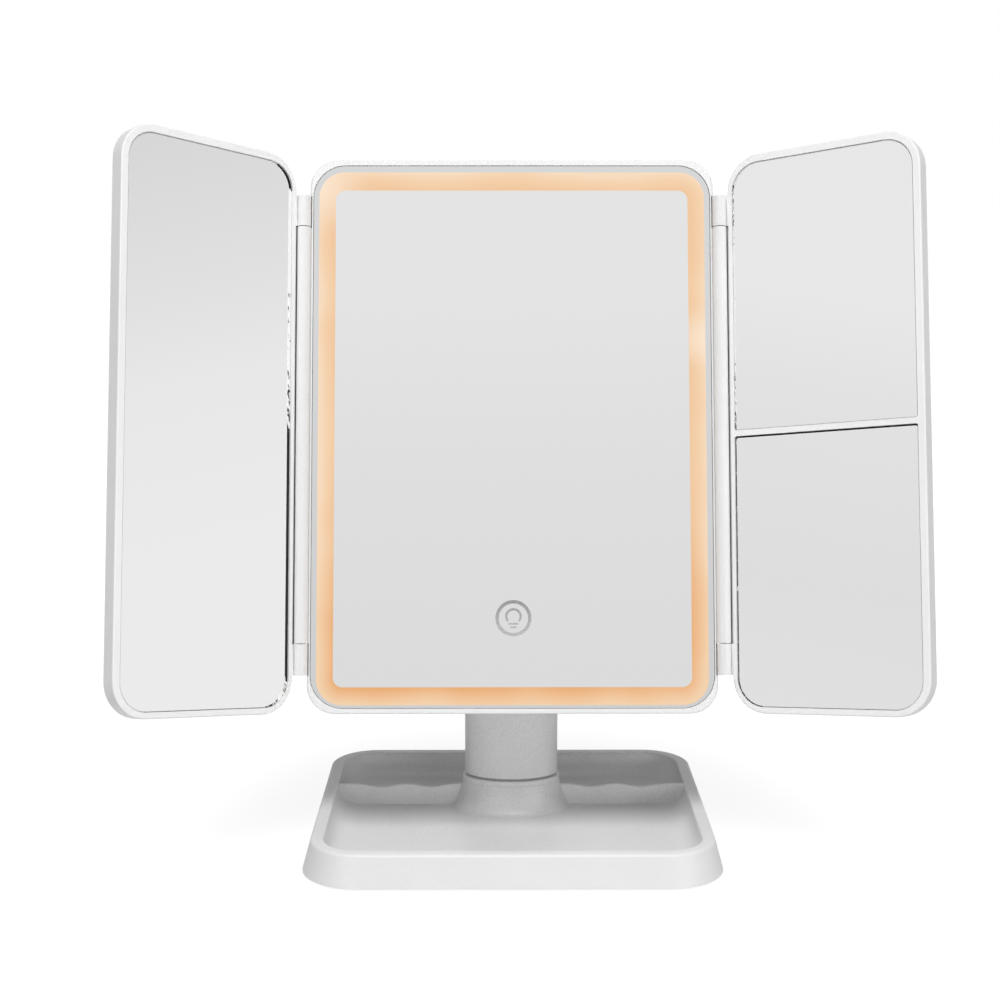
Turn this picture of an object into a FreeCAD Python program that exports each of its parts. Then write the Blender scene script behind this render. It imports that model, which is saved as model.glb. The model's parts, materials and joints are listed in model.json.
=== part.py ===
import FreeCAD, Part
import math
import os
import re
import Sketcher
from FreeCAD import Placement, Rotation, Vector

# Trifold vanity mirror: a lit centre panel with a folding mirror on each side, on a tray base.
#
# Millimetres and degrees. +Z is up, +Y points away from the user, and the origin is on the table
# under the middle of the base. Head pieces are drawn in the panel's own frame: X across, Y up the
# panel, Z out of the mirror, with Z = 0 at the front of the bezel. Wing pieces are drawn in the
# same frame moved to their hinge line. Both are then placed at the rest pose.

SIZES = {
    # Lit centre panel.
    "panel_width": 168.0,
    "panel_height": 230.0,
    "panel_corner": 11.6,
    "least_corner": 1.5,
    "panel_depth": 18.6,
    "frame_depth": 9.0,
    "frame_wall": 2.0,
    "bezel_width": 2.1,
    "bezel_side": 1.2,
    "opening_corner": 13.5,
    "front_edge_round": 0.6,
    "mirror_thickness": 2.0,
    "mirror_recess": 0.4,
    "mirror_play": 0.15,
    "mirror_bevel": 0.4,
    "ledge_thickness": 1.5,
    "tape_thickness": 0.3,
    "tape_inset": 0.2,
    "pad_width": 26.0,
    "pad_height": 60.0,
    # Light band: its distance from the panel's edge, its width, and what lies behind it.
    "band_inset": 3.7,
    "band_width": 6.9,
    "band_corner": 10.6,
    "diffuser_thickness": 0.8,
    "diffuser_play": 0.1,
    "trough_gap": 1.4,
    "trough_wall": 2.4,
    "trough_depth": 3.7,
    "trough_floor": 1.2,
    "strip_width": 5.6,
    "strip_thickness": 0.8,
    "chip_length": 3.5,
    "chip_width": 2.8,
    "chip_height": 0.7,
    "chip_pitch": 16.0,
    "chip_end_gap": 10.0,
    # Inner chassis and rear housing.
    "chassis_play": 0.3,
    "plate_thickness": 1.5,
    "seam_gap": 0.2,
    "seat_gap": 0.1,
    "housing_inset": 0.4,
    "housing_lip": 1.6,
    "housing_wall": 3.0,
    "housing_back": 2.2,
    "housing_corner_round": 4.5,
    "housing_screw_inset": 26.5,
    "boss_diameter": 7.0,
    # Screws: a plain shank stands for the thread.
    "screw_shank": 2.4,
    "screw_clearance": 0.3,
    "thread_play": 0.05,
    "screw_head": 5.4,
    "screw_head_height": 1.2,
    "head_play": 0.15,
    "screw_length": 10.0,
    "recess_slot": 0.6,
    "recess_span": 2.8,
    "recess_depth": 0.7,
    # Electronics.
    "touch_height": 39.0,
    "touch_disc": 15.0,
    "touch_disc_thickness": 0.4,
    "touch_hole": 18.0,
    "touch_pin": 2.4,
    "board_width": 70.0,
    "board_height": 34.0,
    "board_thickness": 1.6,
    "board_inset": 19.0,
    "board_standoff": 2.5,
    "standoff_diameter": 5.0,
    "standoff_inset": 4.0,
    "board_screw_shank": 1.6,
    "board_screw_head": 3.2,
    "board_screw_head_height": 1.0,
    "board_screw_length": 3.6,
    "connector_width": 8.0,
    "connector_depth": 5.0,
    "connector_height": 5.0,
    "connector_inset": 5.0,
    "led_connector_x": 22.0,
    "controller_side": 7.0,
    "controller_height": 1.2,
    "controller_x": 16.0,
    "usb_width": 9.0,
    "usb_height": 3.3,
    "usb_corner": 1.6,
    "usb_shell": 0.35,
    "usb_depth": 6.5,
    "usb_tongue_width": 6.6,
    "usb_tongue_height": 0.7,
    "usb_tongue_length": 5.0,
    "usb_play": 0.2,
    "usb_below_face": 0.8,
    "usb_x": -22.0,
    "usb_inset": 8.0,
    "battery_width": 62.0,
    "battery_height": 56.0,
    "battery_thickness": 7.0,
    "battery_inset": 45.0,
    "battery_round": 2.0,
    "lead_diameter": 1.3,
    "lead_spacing": 2.6,
    "lead_bend": 2.0,
    "lead_hole_play": 0.4,
    # Wings and their hinges.
    "hinge_offset": 2.6,
    "hinge_rise": 0.46,
    "barrel_diameter": 5.9,
    "barrel_inset": 28.7,
    "knuckle_gap": 0.3,
    "knuckle_length": 12.8,
    "relief_gap": 0.4,
    "web_overlap": 1.0,
    "thrust_diameter": 4.4,
    "thrust_play": 0.1,
    "pin_diameter": 1.5,
    "pin_play": 0.04,
    "pin_press_play": 0.01,
    "pin_engagement": 10.0,
    "pin_end_gap": 0.5,
    "wing_hinge_gap": 3.5,
    "cove_gap": 0.3,
    "cove_start": 0.8,
    "cove_depth": 3.6,
    "wing_meeting_gap": 0.8,
    "wing_depth": 7.1,
    "wing_corner": 14.5,
    "wing_rim": 3.0,
    "wing_lower_rim": 2.6,
    "wing_hinge_rim": 1.9,
    "wing_ledge": 2.2,
    "wing_back": 1.6,
    "wing_back_round": 0.6,
    "wing_rib": 2.0,
    "divider_bar": 2.4,
    "divider_bar_corner": 1.0,
    "divider_bar_y": -0.4,
    "left_swing": 43.3,
    "right_swing": 33.8,
    # Tilt hinge at the back of the panel.
    "tilt": 14.0,
    "tilt_axis_z": 135.7,
    "tilt_axis_drop": 30.0,
    "tilt_axis_depth": 31.4,
    "bracket_width": 52.0,
    "bracket_height": 30.0,
    "bracket_plate": 2.0,
    "bracket_corner": 3.0,
    "bracket_play": 0.2,
    "bracket_screw_x": 22.5,
    "bracket_screw_y": 9.0,
    "bracket_backing": 2.0,
    "bracket_backing_margin": 2.0,
    "bracket_screw_length": 11.0,
    "ear_radius": 8.5,
    "ear_thickness": 6.0,
    "washer_thickness": 0.8,
    "washer_diameter": 12.0,
    "washer_gap": 0.1,
    "shaft_diameter": 5.0,
    "shaft_play": 0.05,
    "shaft_head": 8.5,
    "shaft_head_height": 2.6,
    "counterbore": 10.0,
    "counterbore_depth": 3.2,
    "nut_height": 2.8,
    "cap_diameter": 13.0,
    "cap_thickness": 1.4,
    "cap_round": 0.6,
    # Post.
    "post_width": 40.6,
    "post_depth": 24.0,
    "post_y": 18.0,
    "post_wall": 4.2,
    "post_top_wall": 6.0,
    "post_edge_round": 0.8,
    "shoulder_drop": 11.0,
    "shoulder_round": 3.0,
    "knuckle_width": 24.0,
    "knuckle_radius": 9.5,
    "column_diameter": 7.0,
    "column_height": 20.0,
    "column_x": 9.0,
    "column_web": 3.0,
    "post_screw_length": 12.0,
    # Base tray.
    "rim_width": 163.2,
    "rim_depth": 133.4,
    "rim_corner": 20.0,
    "rim_land": 5.2,
    "rim_outer_round": 1.4,
    "rim_inner_round": 0.8,
    "foot_height": 0.8,
    "tray_height": 12.8,
    "tray_well": 9.0,
    "skirt_flare": 3.5,
    "cove_radius": 8.6,
    "neck_lip": 1.0,
    "neck_height": 14.1,
    "neck_foot_round": 3.2,
    "neck_top_round": 0.5,
    "neck_seam": 0.6,
    "tenon_inset": 2.0,
    "tenon_play": 0.15,
    "socket_depth": 7.0,
    "socket_floor": 2.4,
    "divider_thickness": 2.0,
    "divider_drop": 0.2,
    "wave_height": 0.7,
    "wave_length": 22.2,
    "wave_start": 24.2,
    "underside_depth": 2.2,
    "underside_wall": 2.6,
    "cover_thickness": 1.0,
    "cover_play": 0.3,
    "foot_diameter": 10.0,
    "foot_round": 0.3,
    "foot_inset": 9.4,
    "cover_screw_length": 6.5,
    "weight_side_gap": 7.5,
    "weight_end_gap": 20.5,
    "weight_corner": 6.0,
}

WAVES = 2
TOUCH = 1e-4
ENDS = (1, -1)
PILOT = "screw_shank + 2 * thread_play"
CLEAR = "screw_shank + screw_clearance"
SINK = "screw_head + 2 * head_play"
SIDES = {"left": -1, "right": 1}

# How deep the main layers of the panel lie behind the bezel's front.
MIRROR_BACK = "(mirror_recess + mirror_thickness)"
LEDGE_FRONT = f"({MIRROR_BACK} + tape_thickness)"
LEDGE_BACK = f"({LEDGE_FRONT} + ledge_thickness)"
CHASSIS_TOP = f"({LEDGE_BACK} + diffuser_thickness + 2 * diffuser_play)"
TROUGH_BED = f"({CHASSIS_TOP} + trough_depth)"
CHASSIS_BACK = f"({TROUGH_BED} + trough_floor)"
PLATE_BACK = f"({LEDGE_FRONT} + plate_thickness)"
BATTERY_FRONT = f"({PLATE_BACK} + tape_thickness)"
BOARD_FRONT = f"({PLATE_BACK} + board_standoff)"
BOARD_BACK = f"({BOARD_FRONT} + board_thickness)"
PLUG_DEPTH = f"({BOARD_BACK} + connector_height / 2)"
HOUSING_FLOOR = "(panel_depth - housing_back)"
BACKING_FRONT = f"({HOUSING_FLOOR} - bracket_backing)"

# Where things lie across and up the panel.
HINGE_X = "(panel_width / 2 + hinge_offset)"
BARREL_HALF = "(panel_height / 2 - barrel_inset)"
KNUCKLE_START = f"({BARREL_HALF} + knuckle_gap)"
KNUCKLE_END = f"({KNUCKLE_START} + knuckle_length)"
WEB_LOW = "(hinge_rise - barrel_diameter / 2)"
WING_REACH = f"({HINGE_X} - wing_meeting_gap / 2)"
HOUSING_SCREW_X = "(panel_width / 2 - housing_screw_inset)"
HOUSING_SCREW_Y = "(panel_height / 2 - housing_screw_inset)"
TOUCH_Y = "(touch_height - panel_height / 2)"
BOARD_LOW = "(board_inset - panel_height / 2)"
BOARD_Y = f"({BOARD_LOW} + board_height / 2)"
USB_Y = f"({BOARD_LOW} + usb_inset)"
BATTERY_Y = "(panel_height / 2 - battery_inset - battery_height / 2)"
BATTERY_PLUG_Y = f"({BOARD_LOW} + board_height - connector_inset)"
LED_PLUG_Y = f"({BOARD_LOW} + connector_inset)"

# How far the main outlines lie inside the panel's outline.
TROUGH_INSET = "(band_inset + band_width + trough_gap)"
PLATE_INSET = f"({TROUGH_INSET} + trough_wall)"
STRIP_INSET = f"((band_inset + {TROUGH_INSET}) / 2)"

# Heights in the base.
FLOOR_TOP = "(foot_height + tray_height - tray_well)"
RIM_TOP = "(foot_height + tray_height)"
NECK_TOP = f"({FLOOR_TOP} + neck_height)"
SOCKET_BED = f"({NECK_TOP} - socket_depth)"
UNDERSIDE_TOP = "(foot_height + underside_depth)"
UNDERSIDE_GROWTH = "(skirt_flare - underside_wall)"
POST_START = f"({NECK_TOP} + neck_seam)"
FOOT_X = "(rim_width / 2 - foot_inset)"
FOOT_Y = "(rim_depth / 2 - foot_inset)"
SHOULDER = "(tilt_axis_z - shoulder_drop)"

# Along the tilt axis.
EAR_INNER = "(knuckle_width / 2 + washer_gap + washer_thickness)"
EAR_OUTER = f"({EAR_INNER} + ear_thickness)"

doc = FreeCAD.newDocument("trifold_vanity_mirror")
sheet = doc.addObject("Spreadsheet::Sheet", "Sizes")
for row, (alias, value) in enumerate(SIZES.items(), start=1):
    sheet.set(f"A{row}", alias)
    sheet.set(f"B{row}", str(value))
    sheet.setAlias(f"B{row}", alias)
worked = doc.addObject("Spreadsheet::Sheet", "Worked")
doc.recompute()


def bound(text):
    """The formula with its names pointing at the sheet's cells."""
    return re.sub(r"[a-z]+(?:_[a-z]+)*", lambda m: f"Sizes.{m[0]}" if m[0] in SIZES else m[0], text)


def value(text):
    """What a formula comes to, as a plain number."""
    worked.set("A1", f"={bound(text)}")
    worked.recompute()
    return float(worked.get("A1"))


# Sketches


def new_body(label):
    body = doc.addObject("PartDesign::Body", label)
    body.Label = label
    return body


def origin_plane(body, role):
    return next(feature for feature in body.Origin.OriginFeatures if feature.Role == role)


def new_sketch(body, x="0", y="0", z="0", plane="XY_Plane"):
    """A sketch on one of the body's planes, its own origin at x, y, z of the body."""
    sketch = body.newObject("Sketcher::SketchObject", "profile")
    sketch.AttachmentSupport = [(origin_plane(body, plane), "")]
    sketch.MapMode = "FlatFace"
    offsets = {"XY_Plane": (x, y, z), "XZ_Plane": (x, z, f"-({y})"), "YZ_Plane": (y, z, x)}[plane]
    for axis, offset in zip("xyz", offsets):
        sketch.setExpression(f"AttachmentOffset.Base.{axis}", bound(offset))
    return sketch


def add_dimension(sketch, name, constraint, formula):
    index = sketch.addConstraint(constraint)
    sketch.renameConstraint(index, name)
    sketch.setExpression(f"Constraints.{name}", bound(formula))


def add_rounded_rectangle(sketch, name, width, height, radius, upper_radius=None):
    """Four lines and four tangent arcs about the sketch's origin, the upper arcs alike or wider."""
    half_w, half_h, r = 20.0, 10.0, 2.0
    first = sketch.GeometryCount
    sides = (
        ((-half_w + r, -half_h), (half_w - r, -half_h)),
        ((half_w, -half_h + r), (half_w, half_h - r)),
        ((half_w - r, half_h), (-half_w + r, half_h)),
        ((-half_w, half_h - r), (-half_w, -half_h + r)),
    )
    for start, end in sides:
        sketch.addGeometry(Part.LineSegment(Vector(*start, 0), Vector(*end, 0)), False)
    for turn, (x, y) in enumerate(((1, -1), (1, 1), (-1, 1), (-1, -1))):
        corner = Part.Circle(Vector(x * (half_w - r), y * (half_h - r), 0), Vector(0, 0, 1), r)
        start = math.radians(90 * turn - 90)
        sketch.addGeometry(Part.ArcOfCircle(corner, start, start + math.pi / 2), False)
    make = Sketcher.Constraint
    constraints = []
    for i in range(4):
        constraints.append(make("Tangent", first + i, 2, first + 4 + i, 1))
        constraints.append(make("Tangent", first + 4 + i, 2, first + (i + 1) % 4, 1))
    constraints.append(make("Vertical", first + 1))
    constraints.append(make("Horizontal", first + 2))
    constraints.append(make("Vertical", first + 3))
    constraints.append(make("Symmetric", first, 1, first, 2, -2))
    constraints.append(make("Equal", first + 4, first + 7))
    constraints.append(make("Equal", first + 5, first + 6))
    if upper_radius is None:
        constraints.append(make("Equal", first + 4, first + 5))
    sketch.addConstraint(constraints)
    half_height = f"({height}) / 2"
    add_dimension(sketch, f"{name}_width", make("DistanceX", first + 3, 1, first + 1, 1, 2 * half_w), width)
    add_dimension(sketch, f"{name}_lower", make("DistanceY", first, 1, -1, 1, half_h), half_height)
    add_dimension(sketch, f"{name}_upper", make("DistanceY", -1, 1, first + 2, 1, half_h), half_height)
    add_dimension(sketch, f"{name}_radius", make("Radius", first + 4, r), radius)
    if upper_radius is not None:
        add_dimension(sketch, f"{name}_upper_radius", make("Radius", first + 5, r), upper_radius)


def rounded_rectangle(body, width, height, radius, upper_radius=None, **place):
    sketch = new_sketch(body, **place)
    add_rounded_rectangle(sketch, "outline", width, height, radius, upper_radius)
    return sketch


def rectangle(body, width, height, **place):
    sketch = new_sketch(body, **place)
    corners = [Vector(-2, -1, 0), Vector(2, -1, 0), Vector(2, 1, 0), Vector(-2, 1, 0)]
    make = Sketcher.Constraint
    for i, corner in enumerate(corners):
        sketch.addGeometry(Part.LineSegment(corner, corners[(i + 1) % 4]), False)
    for i in range(4):
        sketch.addConstraint(make("Coincident", i, 2, (i + 1) % 4, 1))
        sketch.addConstraint(make("Horizontal" if i % 2 == 0 else "Vertical", i))
    sketch.addConstraint(make("Symmetric", 0, 1, 2, 1, -1, 1))
    add_dimension(sketch, "width", make("DistanceX", 0, 1, 0, 2, 4.0), width)
    add_dimension(sketch, "height", make("DistanceY", 1, 1, 1, 2, 2.0), height)
    return sketch


def circle(body, diameter, **place):
    sketch = new_sketch(body, **place)
    make = Sketcher.Constraint
    sketch.addGeometry(Part.Circle(Vector(0, 0, 0), Vector(0, 0, 1), 1.0), False)
    sketch.addConstraint(make("Coincident", 0, 3, -1, 1))
    add_dimension(sketch, "diameter", make("Diameter", 0, 2.0), diameter)
    return sketch


def ellipse(body, width, depth, **place):
    sketch = new_sketch(body, **place)
    make = Sketcher.Constraint
    sketch.addGeometry(Part.Ellipse(Vector(0, 0, 0), 20.0, 10.0), False)
    sketch.exposeInternalGeometry(0)
    sketch.addConstraint([make("Coincident", 0, 3, -1, 1), make("Horizontal", 1)])
    add_dimension(sketch, "width", make("Distance", 1, 40.0), width)
    add_dimension(sketch, "depth", make("Distance", 2, 20.0), depth)
    return sketch


def outline(body, inset, depth, corner="panel_corner"):
    """The panel's outline moved in by inset, at a depth behind the bezel."""
    return rounded_rectangle(
        body, f"panel_width - 2 * {inset}", f"panel_height - 2 * {inset}", f"{corner} - {inset}",
        z=f"-{depth}",
    )


def ledge_outline(body, inset, depth):
    """An outline that runs along the light band's outer edge, with the band's corners."""
    return outline(body, inset, depth, corner="(band_corner + band_inset)")


def opening(body, inset, depth):
    """The bezel's opening for the mirror, moved in by inset, at a depth behind the bezel."""
    return rounded_rectangle(
        body, f"panel_width - 2 * (bezel_side + {inset})", f"panel_height - 2 * (bezel_width + {inset})",
        f"opening_corner - {inset}", z=f"-{depth}",
    )


# Features


def pad(body, sketch, length, back=False):
    """Adds along the sketch plane's normal, or against it."""
    feature = body.newObject("PartDesign::Pad", "pad")
    feature.Profile = sketch
    feature.Reversed = back
    feature.setExpression("Length", bound(length))
    sketch.Visibility = False
    return feature


def pocket(body, sketch, length, back=False):
    """Cuts against the sketch plane's normal, or along it."""
    feature = body.newObject("PartDesign::Pocket", "pocket")
    feature.Profile = sketch
    feature.Reversed = back
    feature.setExpression("Length", bound(length))
    sketch.Visibility = False
    return feature


def countersink(body, x, y, z, depth, wide="screw_head", narrow="screw_shank"):
    """A seat for a sunk screw that opens downwards at z."""
    cone = body.newObject("PartDesign::SubtractiveCone", "countersink")
    cone.AttachmentSupport = [(origin_plane(body, "XY_Plane"), "")]
    cone.MapMode = "FlatFace"
    for axis, offset in zip("xyz", (x, y, z)):
        cone.setExpression(f"AttachmentOffset.Base.{axis}", bound(offset))
    cone.setExpression("Radius1", bound(f"{wide} / 2 + head_play"))
    cone.setExpression("Radius2", bound(f"{narrow} / 2 + head_play"))
    cone.setExpression("Height", bound(depth))


def edges_at(body, level, test=lambda box: True):
    """Names of the edges that lie at a height in the body and whose box passes the test."""
    doc.recompute()
    height = value(level)
    names = []
    for i, edge in enumerate(body.Tip.Shape.Edges, start=1):
        box = edge.BoundBox
        if max(abs(box.ZMin - height), abs(box.ZMax - height)) < TOUCH and test(box):
            names.append(f"Edge{i}")
    return names


def fillet(body, names, radius):
    base = body.Tip
    feature = body.newObject("PartDesign::Fillet", "fillet")
    feature.Base = (base, names)
    feature.setExpression("Radius", bound(radius))
    return feature


def chamfer(body, names, width):
    base = body.Tip
    feature = body.newObject("PartDesign::Chamfer", "chamfer")
    feature.Base = (base, names)
    feature.setExpression("Size", bound(width))
    return feature


def ring_sketch(body, outer_inset, inner_inset, depth):
    """Two outlines, one inside the other, that follow the panel's."""
    sketch = new_sketch(body, z=f"-{depth}")
    for name, inset in (("outer", outer_inset), ("inner", inner_inset)):
        add_rounded_rectangle(
            sketch, name, f"panel_width - 2 * {inset}", f"panel_height - 2 * {inset}",
            f"max(panel_corner - {inset}; least_corner)",
        )
    return sketch


def ring(body, outer_inset, inner_inset, depth, thickness):
    """A flat frame that follows the panel's outline."""
    pad(body, ring_sketch(body, outer_inset, inner_inset, depth), thickness, back=True)


def group(label, shape, spots):
    """Identical pieces as separate solids of one sub-part."""
    copies = []
    for spot in spots:
        copy = shape.copy()
        copy.Placement = spot * shape.Placement
        copies.append(copy)
    feature = doc.addObject("Part::Feature", label)
    feature.Label = label
    feature.Shape = Part.makeCompound(copies)
    return feature


def round_bar(name, diameter, length):
    bar = doc.addObject("Part::Cylinder", name)
    bar.setExpression("Radius", bound(f"({diameter}) / 2"))
    bar.setExpression("Height", bound(length))
    return bar


def screw(name, length, head="screw_head", head_height="screw_head_height", shank="screw_shank", sunk=False):
    """A cross-head screw: the head's top at z = 0, the shank pointing up."""
    if sunk:
        top = doc.addObject("Part::Cone", f"{name}_head")
        top.setExpression("Radius1", bound(f"{head} / 2"))
        top.setExpression("Radius2", bound(f"{shank} / 2"))
        top.setExpression("Height", bound(head_height))
    else:
        top = round_bar(f"{name}_head", head, head_height)
    body = doc.addObject("Part::Fuse", f"{name}_blank")
    body.Base = top
    body.Tool = round_bar(f"{name}_shank", shank, length)
    for turned in (False, True):
        slot = doc.addObject("Part::Box", f"{name}_slot")
        long_side, short_side = ("Width", "Length") if turned else ("Length", "Width")
        slot.setExpression(long_side, bound(f"recess_span * {head} / screw_head"))
        slot.setExpression(short_side, bound(f"recess_slot * {head} / screw_head"))
        slot.setExpression("Height", bound(f"recess_depth * {head_height} / screw_head_height"))
        slot.setExpression("Placement.Base.x", f"-{slot.Name}.Length / 2")
        slot.setExpression("Placement.Base.y", f"-{slot.Name}.Width / 2")
        cut = doc.addObject("Part::Cut", f"{name}_cut")
        cut.Base = body
        cut.Tool = slot
        body = cut
    doc.recompute()
    return body.Shape


def tube_along(points, diameter, bend):
    """A round lead through the points, its corners turned by tangent arcs."""
    edges = []
    start = points[0]
    for before, corner, after in zip(points, points[1:], points[2:]):
        towards = (before - corner).normalize()
        onwards = (after - corner).normalize()
        half = towards.getAngle(onwards) / 2
        reach = bend / math.tan(half)
        first, last = corner + towards * reach, corner + onwards * reach
        middle = corner + (towards + onwards).normalize() * (bend / math.sin(half) - bend)
        edges.append(Part.LineSegment(start, first).toShape())
        edges.append(Part.Arc(first, middle, last).toShape())
        start = last
    edges.append(Part.LineSegment(start, points[-1]).toShape())
    path = Part.Wire(edges)
    section = Part.Wire(Part.makeCircle(diameter / 2, points[0], points[1] - points[0]))
    return path.makePipeShell([section], True, False)


def lead(label, routes):
    feature = doc.addObject("Part::Feature", label)
    feature.Label = label
    diameter, bend = value("lead_diameter"), value("lead_bend")
    feature.Shape = Part.makeCompound([tube_along(route, diameter, bend) for route in routes])
    return feature


# Base


def base_tray():
    body = new_body("base_tray")
    doc.recompute()
    flare = "2 * skirt_flare"
    bottom = rounded_rectangle(
        body, f"rim_width + {flare}", f"rim_depth + {flare}", "rim_corner + skirt_flare", z="foot_height"
    )
    top = rounded_rectangle(body, "rim_width", "rim_depth", "rim_corner", z=RIM_TOP)
    skirt = body.newObject("PartDesign::AdditiveLoft", "skirt")
    skirt.Profile = bottom
    skirt.Sections = [top]
    skirt.Ruled = True
    well = rounded_rectangle(
        body, "rim_width - 2 * rim_land", "rim_depth - 2 * rim_land", "rim_corner - rim_land", z=RIM_TOP
    )
    pocket(body, well, "tray_well")
    fillet(body, edges_at(body, FLOOR_TOP), "cove_radius")
    side = value("(rim_width - rim_land) / 2")
    end = value("(rim_depth - rim_land) / 2")

    def is_outer(box):
        return max(abs(box.XMin), abs(box.XMax)) > side or max(abs(box.YMin), abs(box.YMax)) > end

    fillet(body, edges_at(body, RIM_TOP, is_outer), "rim_outer_round")
    fillet(body, edges_at(body, RIM_TOP, lambda box: not is_outer(box)), "rim_inner_round")
    neck = ellipse(
        body, "post_width + 2 * neck_lip", "post_depth + 2 * neck_lip", y="post_y", z=f"{FLOOR_TOP} - 1"
    )
    pad(body, neck, "neck_height + 1")

    fillet(body, edges_at(body, FLOOR_TOP, lambda box: box.XMax < value("post_width")), "neck_foot_round")
    for side in ENDS:
        divider(body, side)
    fillet(body, edges_at(body, NECK_TOP), "neck_top_round")
    inset = "2 * (tenon_inset - tenon_play)"
    socket = ellipse(body, f"post_width - {inset}", f"post_depth - {inset}", y="post_y", z=NECK_TOP)
    pocket(body, socket, "socket_depth")
    underside = under_base(body, "0", UNDERSIDE_TOP)
    pocket(body, underside, "underside_depth + 1")
    recess = ellipse(
        body, "post_width - 2 * post_wall", "post_depth - 2 * post_wall", y="post_y",
        z=f"{SOCKET_BED} - socket_floor",
    )
    pocket(body, recess, f"{SOCKET_BED} - socket_floor - foot_height")
    for side in ENDS:
        hole = circle(body, CLEAR, x=f"{side} * column_x", y="post_y", z=SOCKET_BED)
        pocket(body, hole, "socket_floor + 1")
    for x, y in four_corners(FOOT_X, FOOT_Y):
        top = "foot_height + cover_screw_length + screw_clearance"
        pocket(body, circle(body, PILOT, x=x, y=y, z=top), "cover_screw_length")
    return body


def under_base(body, gap, level):
    """The underside's recess, or what fills it but for a gap."""
    growth = f"({UNDERSIDE_GROWTH} - {gap})"
    return rounded_rectangle(
        body, f"rim_width + 2 * {growth}", f"rim_depth + 2 * {growth}", f"rim_corner + {growth}", z=level
    )


def four_corners(x, y):
    return [(f"{i} * {x}", f"{j} * {y}") for i in ENDS for j in ENDS]


def spots(places, z):
    """Upright placements at places given as formulas."""
    return [Placement(Vector(value(x), value(y), value(z)), Rotation()) for x, y in places]


def divider(body, side):
    """One upright wall from the neck to the rim, its top edge a row of shallow waves."""
    crest = value(f"{RIM_TOP} - divider_drop")
    base = value(f"{FLOOR_TOP} - 1")
    inner = value("post_width / 4")
    outer = value("(rim_width - rim_land) / 2")
    start = value("wave_start")
    quarter = value("wave_length / 4")
    height = value("wave_height")
    radius = (quarter**2 + height**2) / (2 * height)
    lean = math.asin(quarter / radius) / 2
    near, fall = radius * math.sin(lean), radius * (1 - math.cos(lean))
    mean = crest - height
    end = start + 4 * WAVES * quarter

    def at(x, z):
        return Vector(side * x, z, 0)

    corners = [at(end, crest), at(outer, crest), at(outer, base)]
    corners += [at(inner, base), at(inner, crest), at(start, crest)]
    edges = [Part.LineSegment(*pair) for pair in zip(corners, corners[1:])]
    edges.append(Part.Arc(at(start, crest), at(start + near, crest - fall), at(start + quarter, mean)))
    for half in range(2 * WAVES - 1):
        left = start + (1 + 2 * half) * quarter
        turn = mean - height if half % 2 == 0 else crest
        edges.append(Part.Arc(at(left, mean), at(left + quarter, turn), at(left + 2 * quarter, mean)))
    edges.append(Part.Arc(at(end - quarter, mean), at(end - near, crest - fall), at(end, crest)))
    sketch = new_sketch(body, y="post_y + divider_thickness / 2", plane="XZ_Plane")
    for edge in edges:
        sketch.addGeometry(edge, False)
    pad(body, sketch, "divider_thickness")


def base_bottom_cover():
    body = new_body("base_bottom_cover")
    pad(body, under_base(body, "cover_play", "foot_height"), "cover_thickness")
    for x, y in four_corners(FOOT_X, FOOT_Y):
        countersink(body, x, y, "foot_height", "cover_thickness")
    return body


def base_weight_plate():
    body = new_body("base_weight_plate")
    plate = rounded_rectangle(
        body, f"rim_width + 2 * ({UNDERSIDE_GROWTH} - weight_side_gap)",
        f"rim_depth + 2 * ({UNDERSIDE_GROWTH} - weight_end_gap)", "weight_corner",
        z="foot_height + cover_thickness + seat_gap",
    )
    pad(body, plate, "underside_depth - cover_thickness - 2 * seat_gap")
    return body


def base_feet():
    foot = round_bar("foot_blank", "foot_diameter", "foot_height")
    doc.recompute()
    rim = [edge for edge in foot.Shape.Edges if edge.BoundBox.ZMax < TOUCH]
    shape = foot.Shape.makeFillet(value("foot_round"), rim)
    return group("base_feet", shape, spots(four_corners(FOOT_X, FOOT_Y), "0"))


def base_screws():
    shape = screw("cover_screw", "cover_screw_length", head_height="cover_thickness", sunk=True)
    return group("base_screws", shape, spots(four_corners(FOOT_X, FOOT_Y), "foot_height"))


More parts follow.
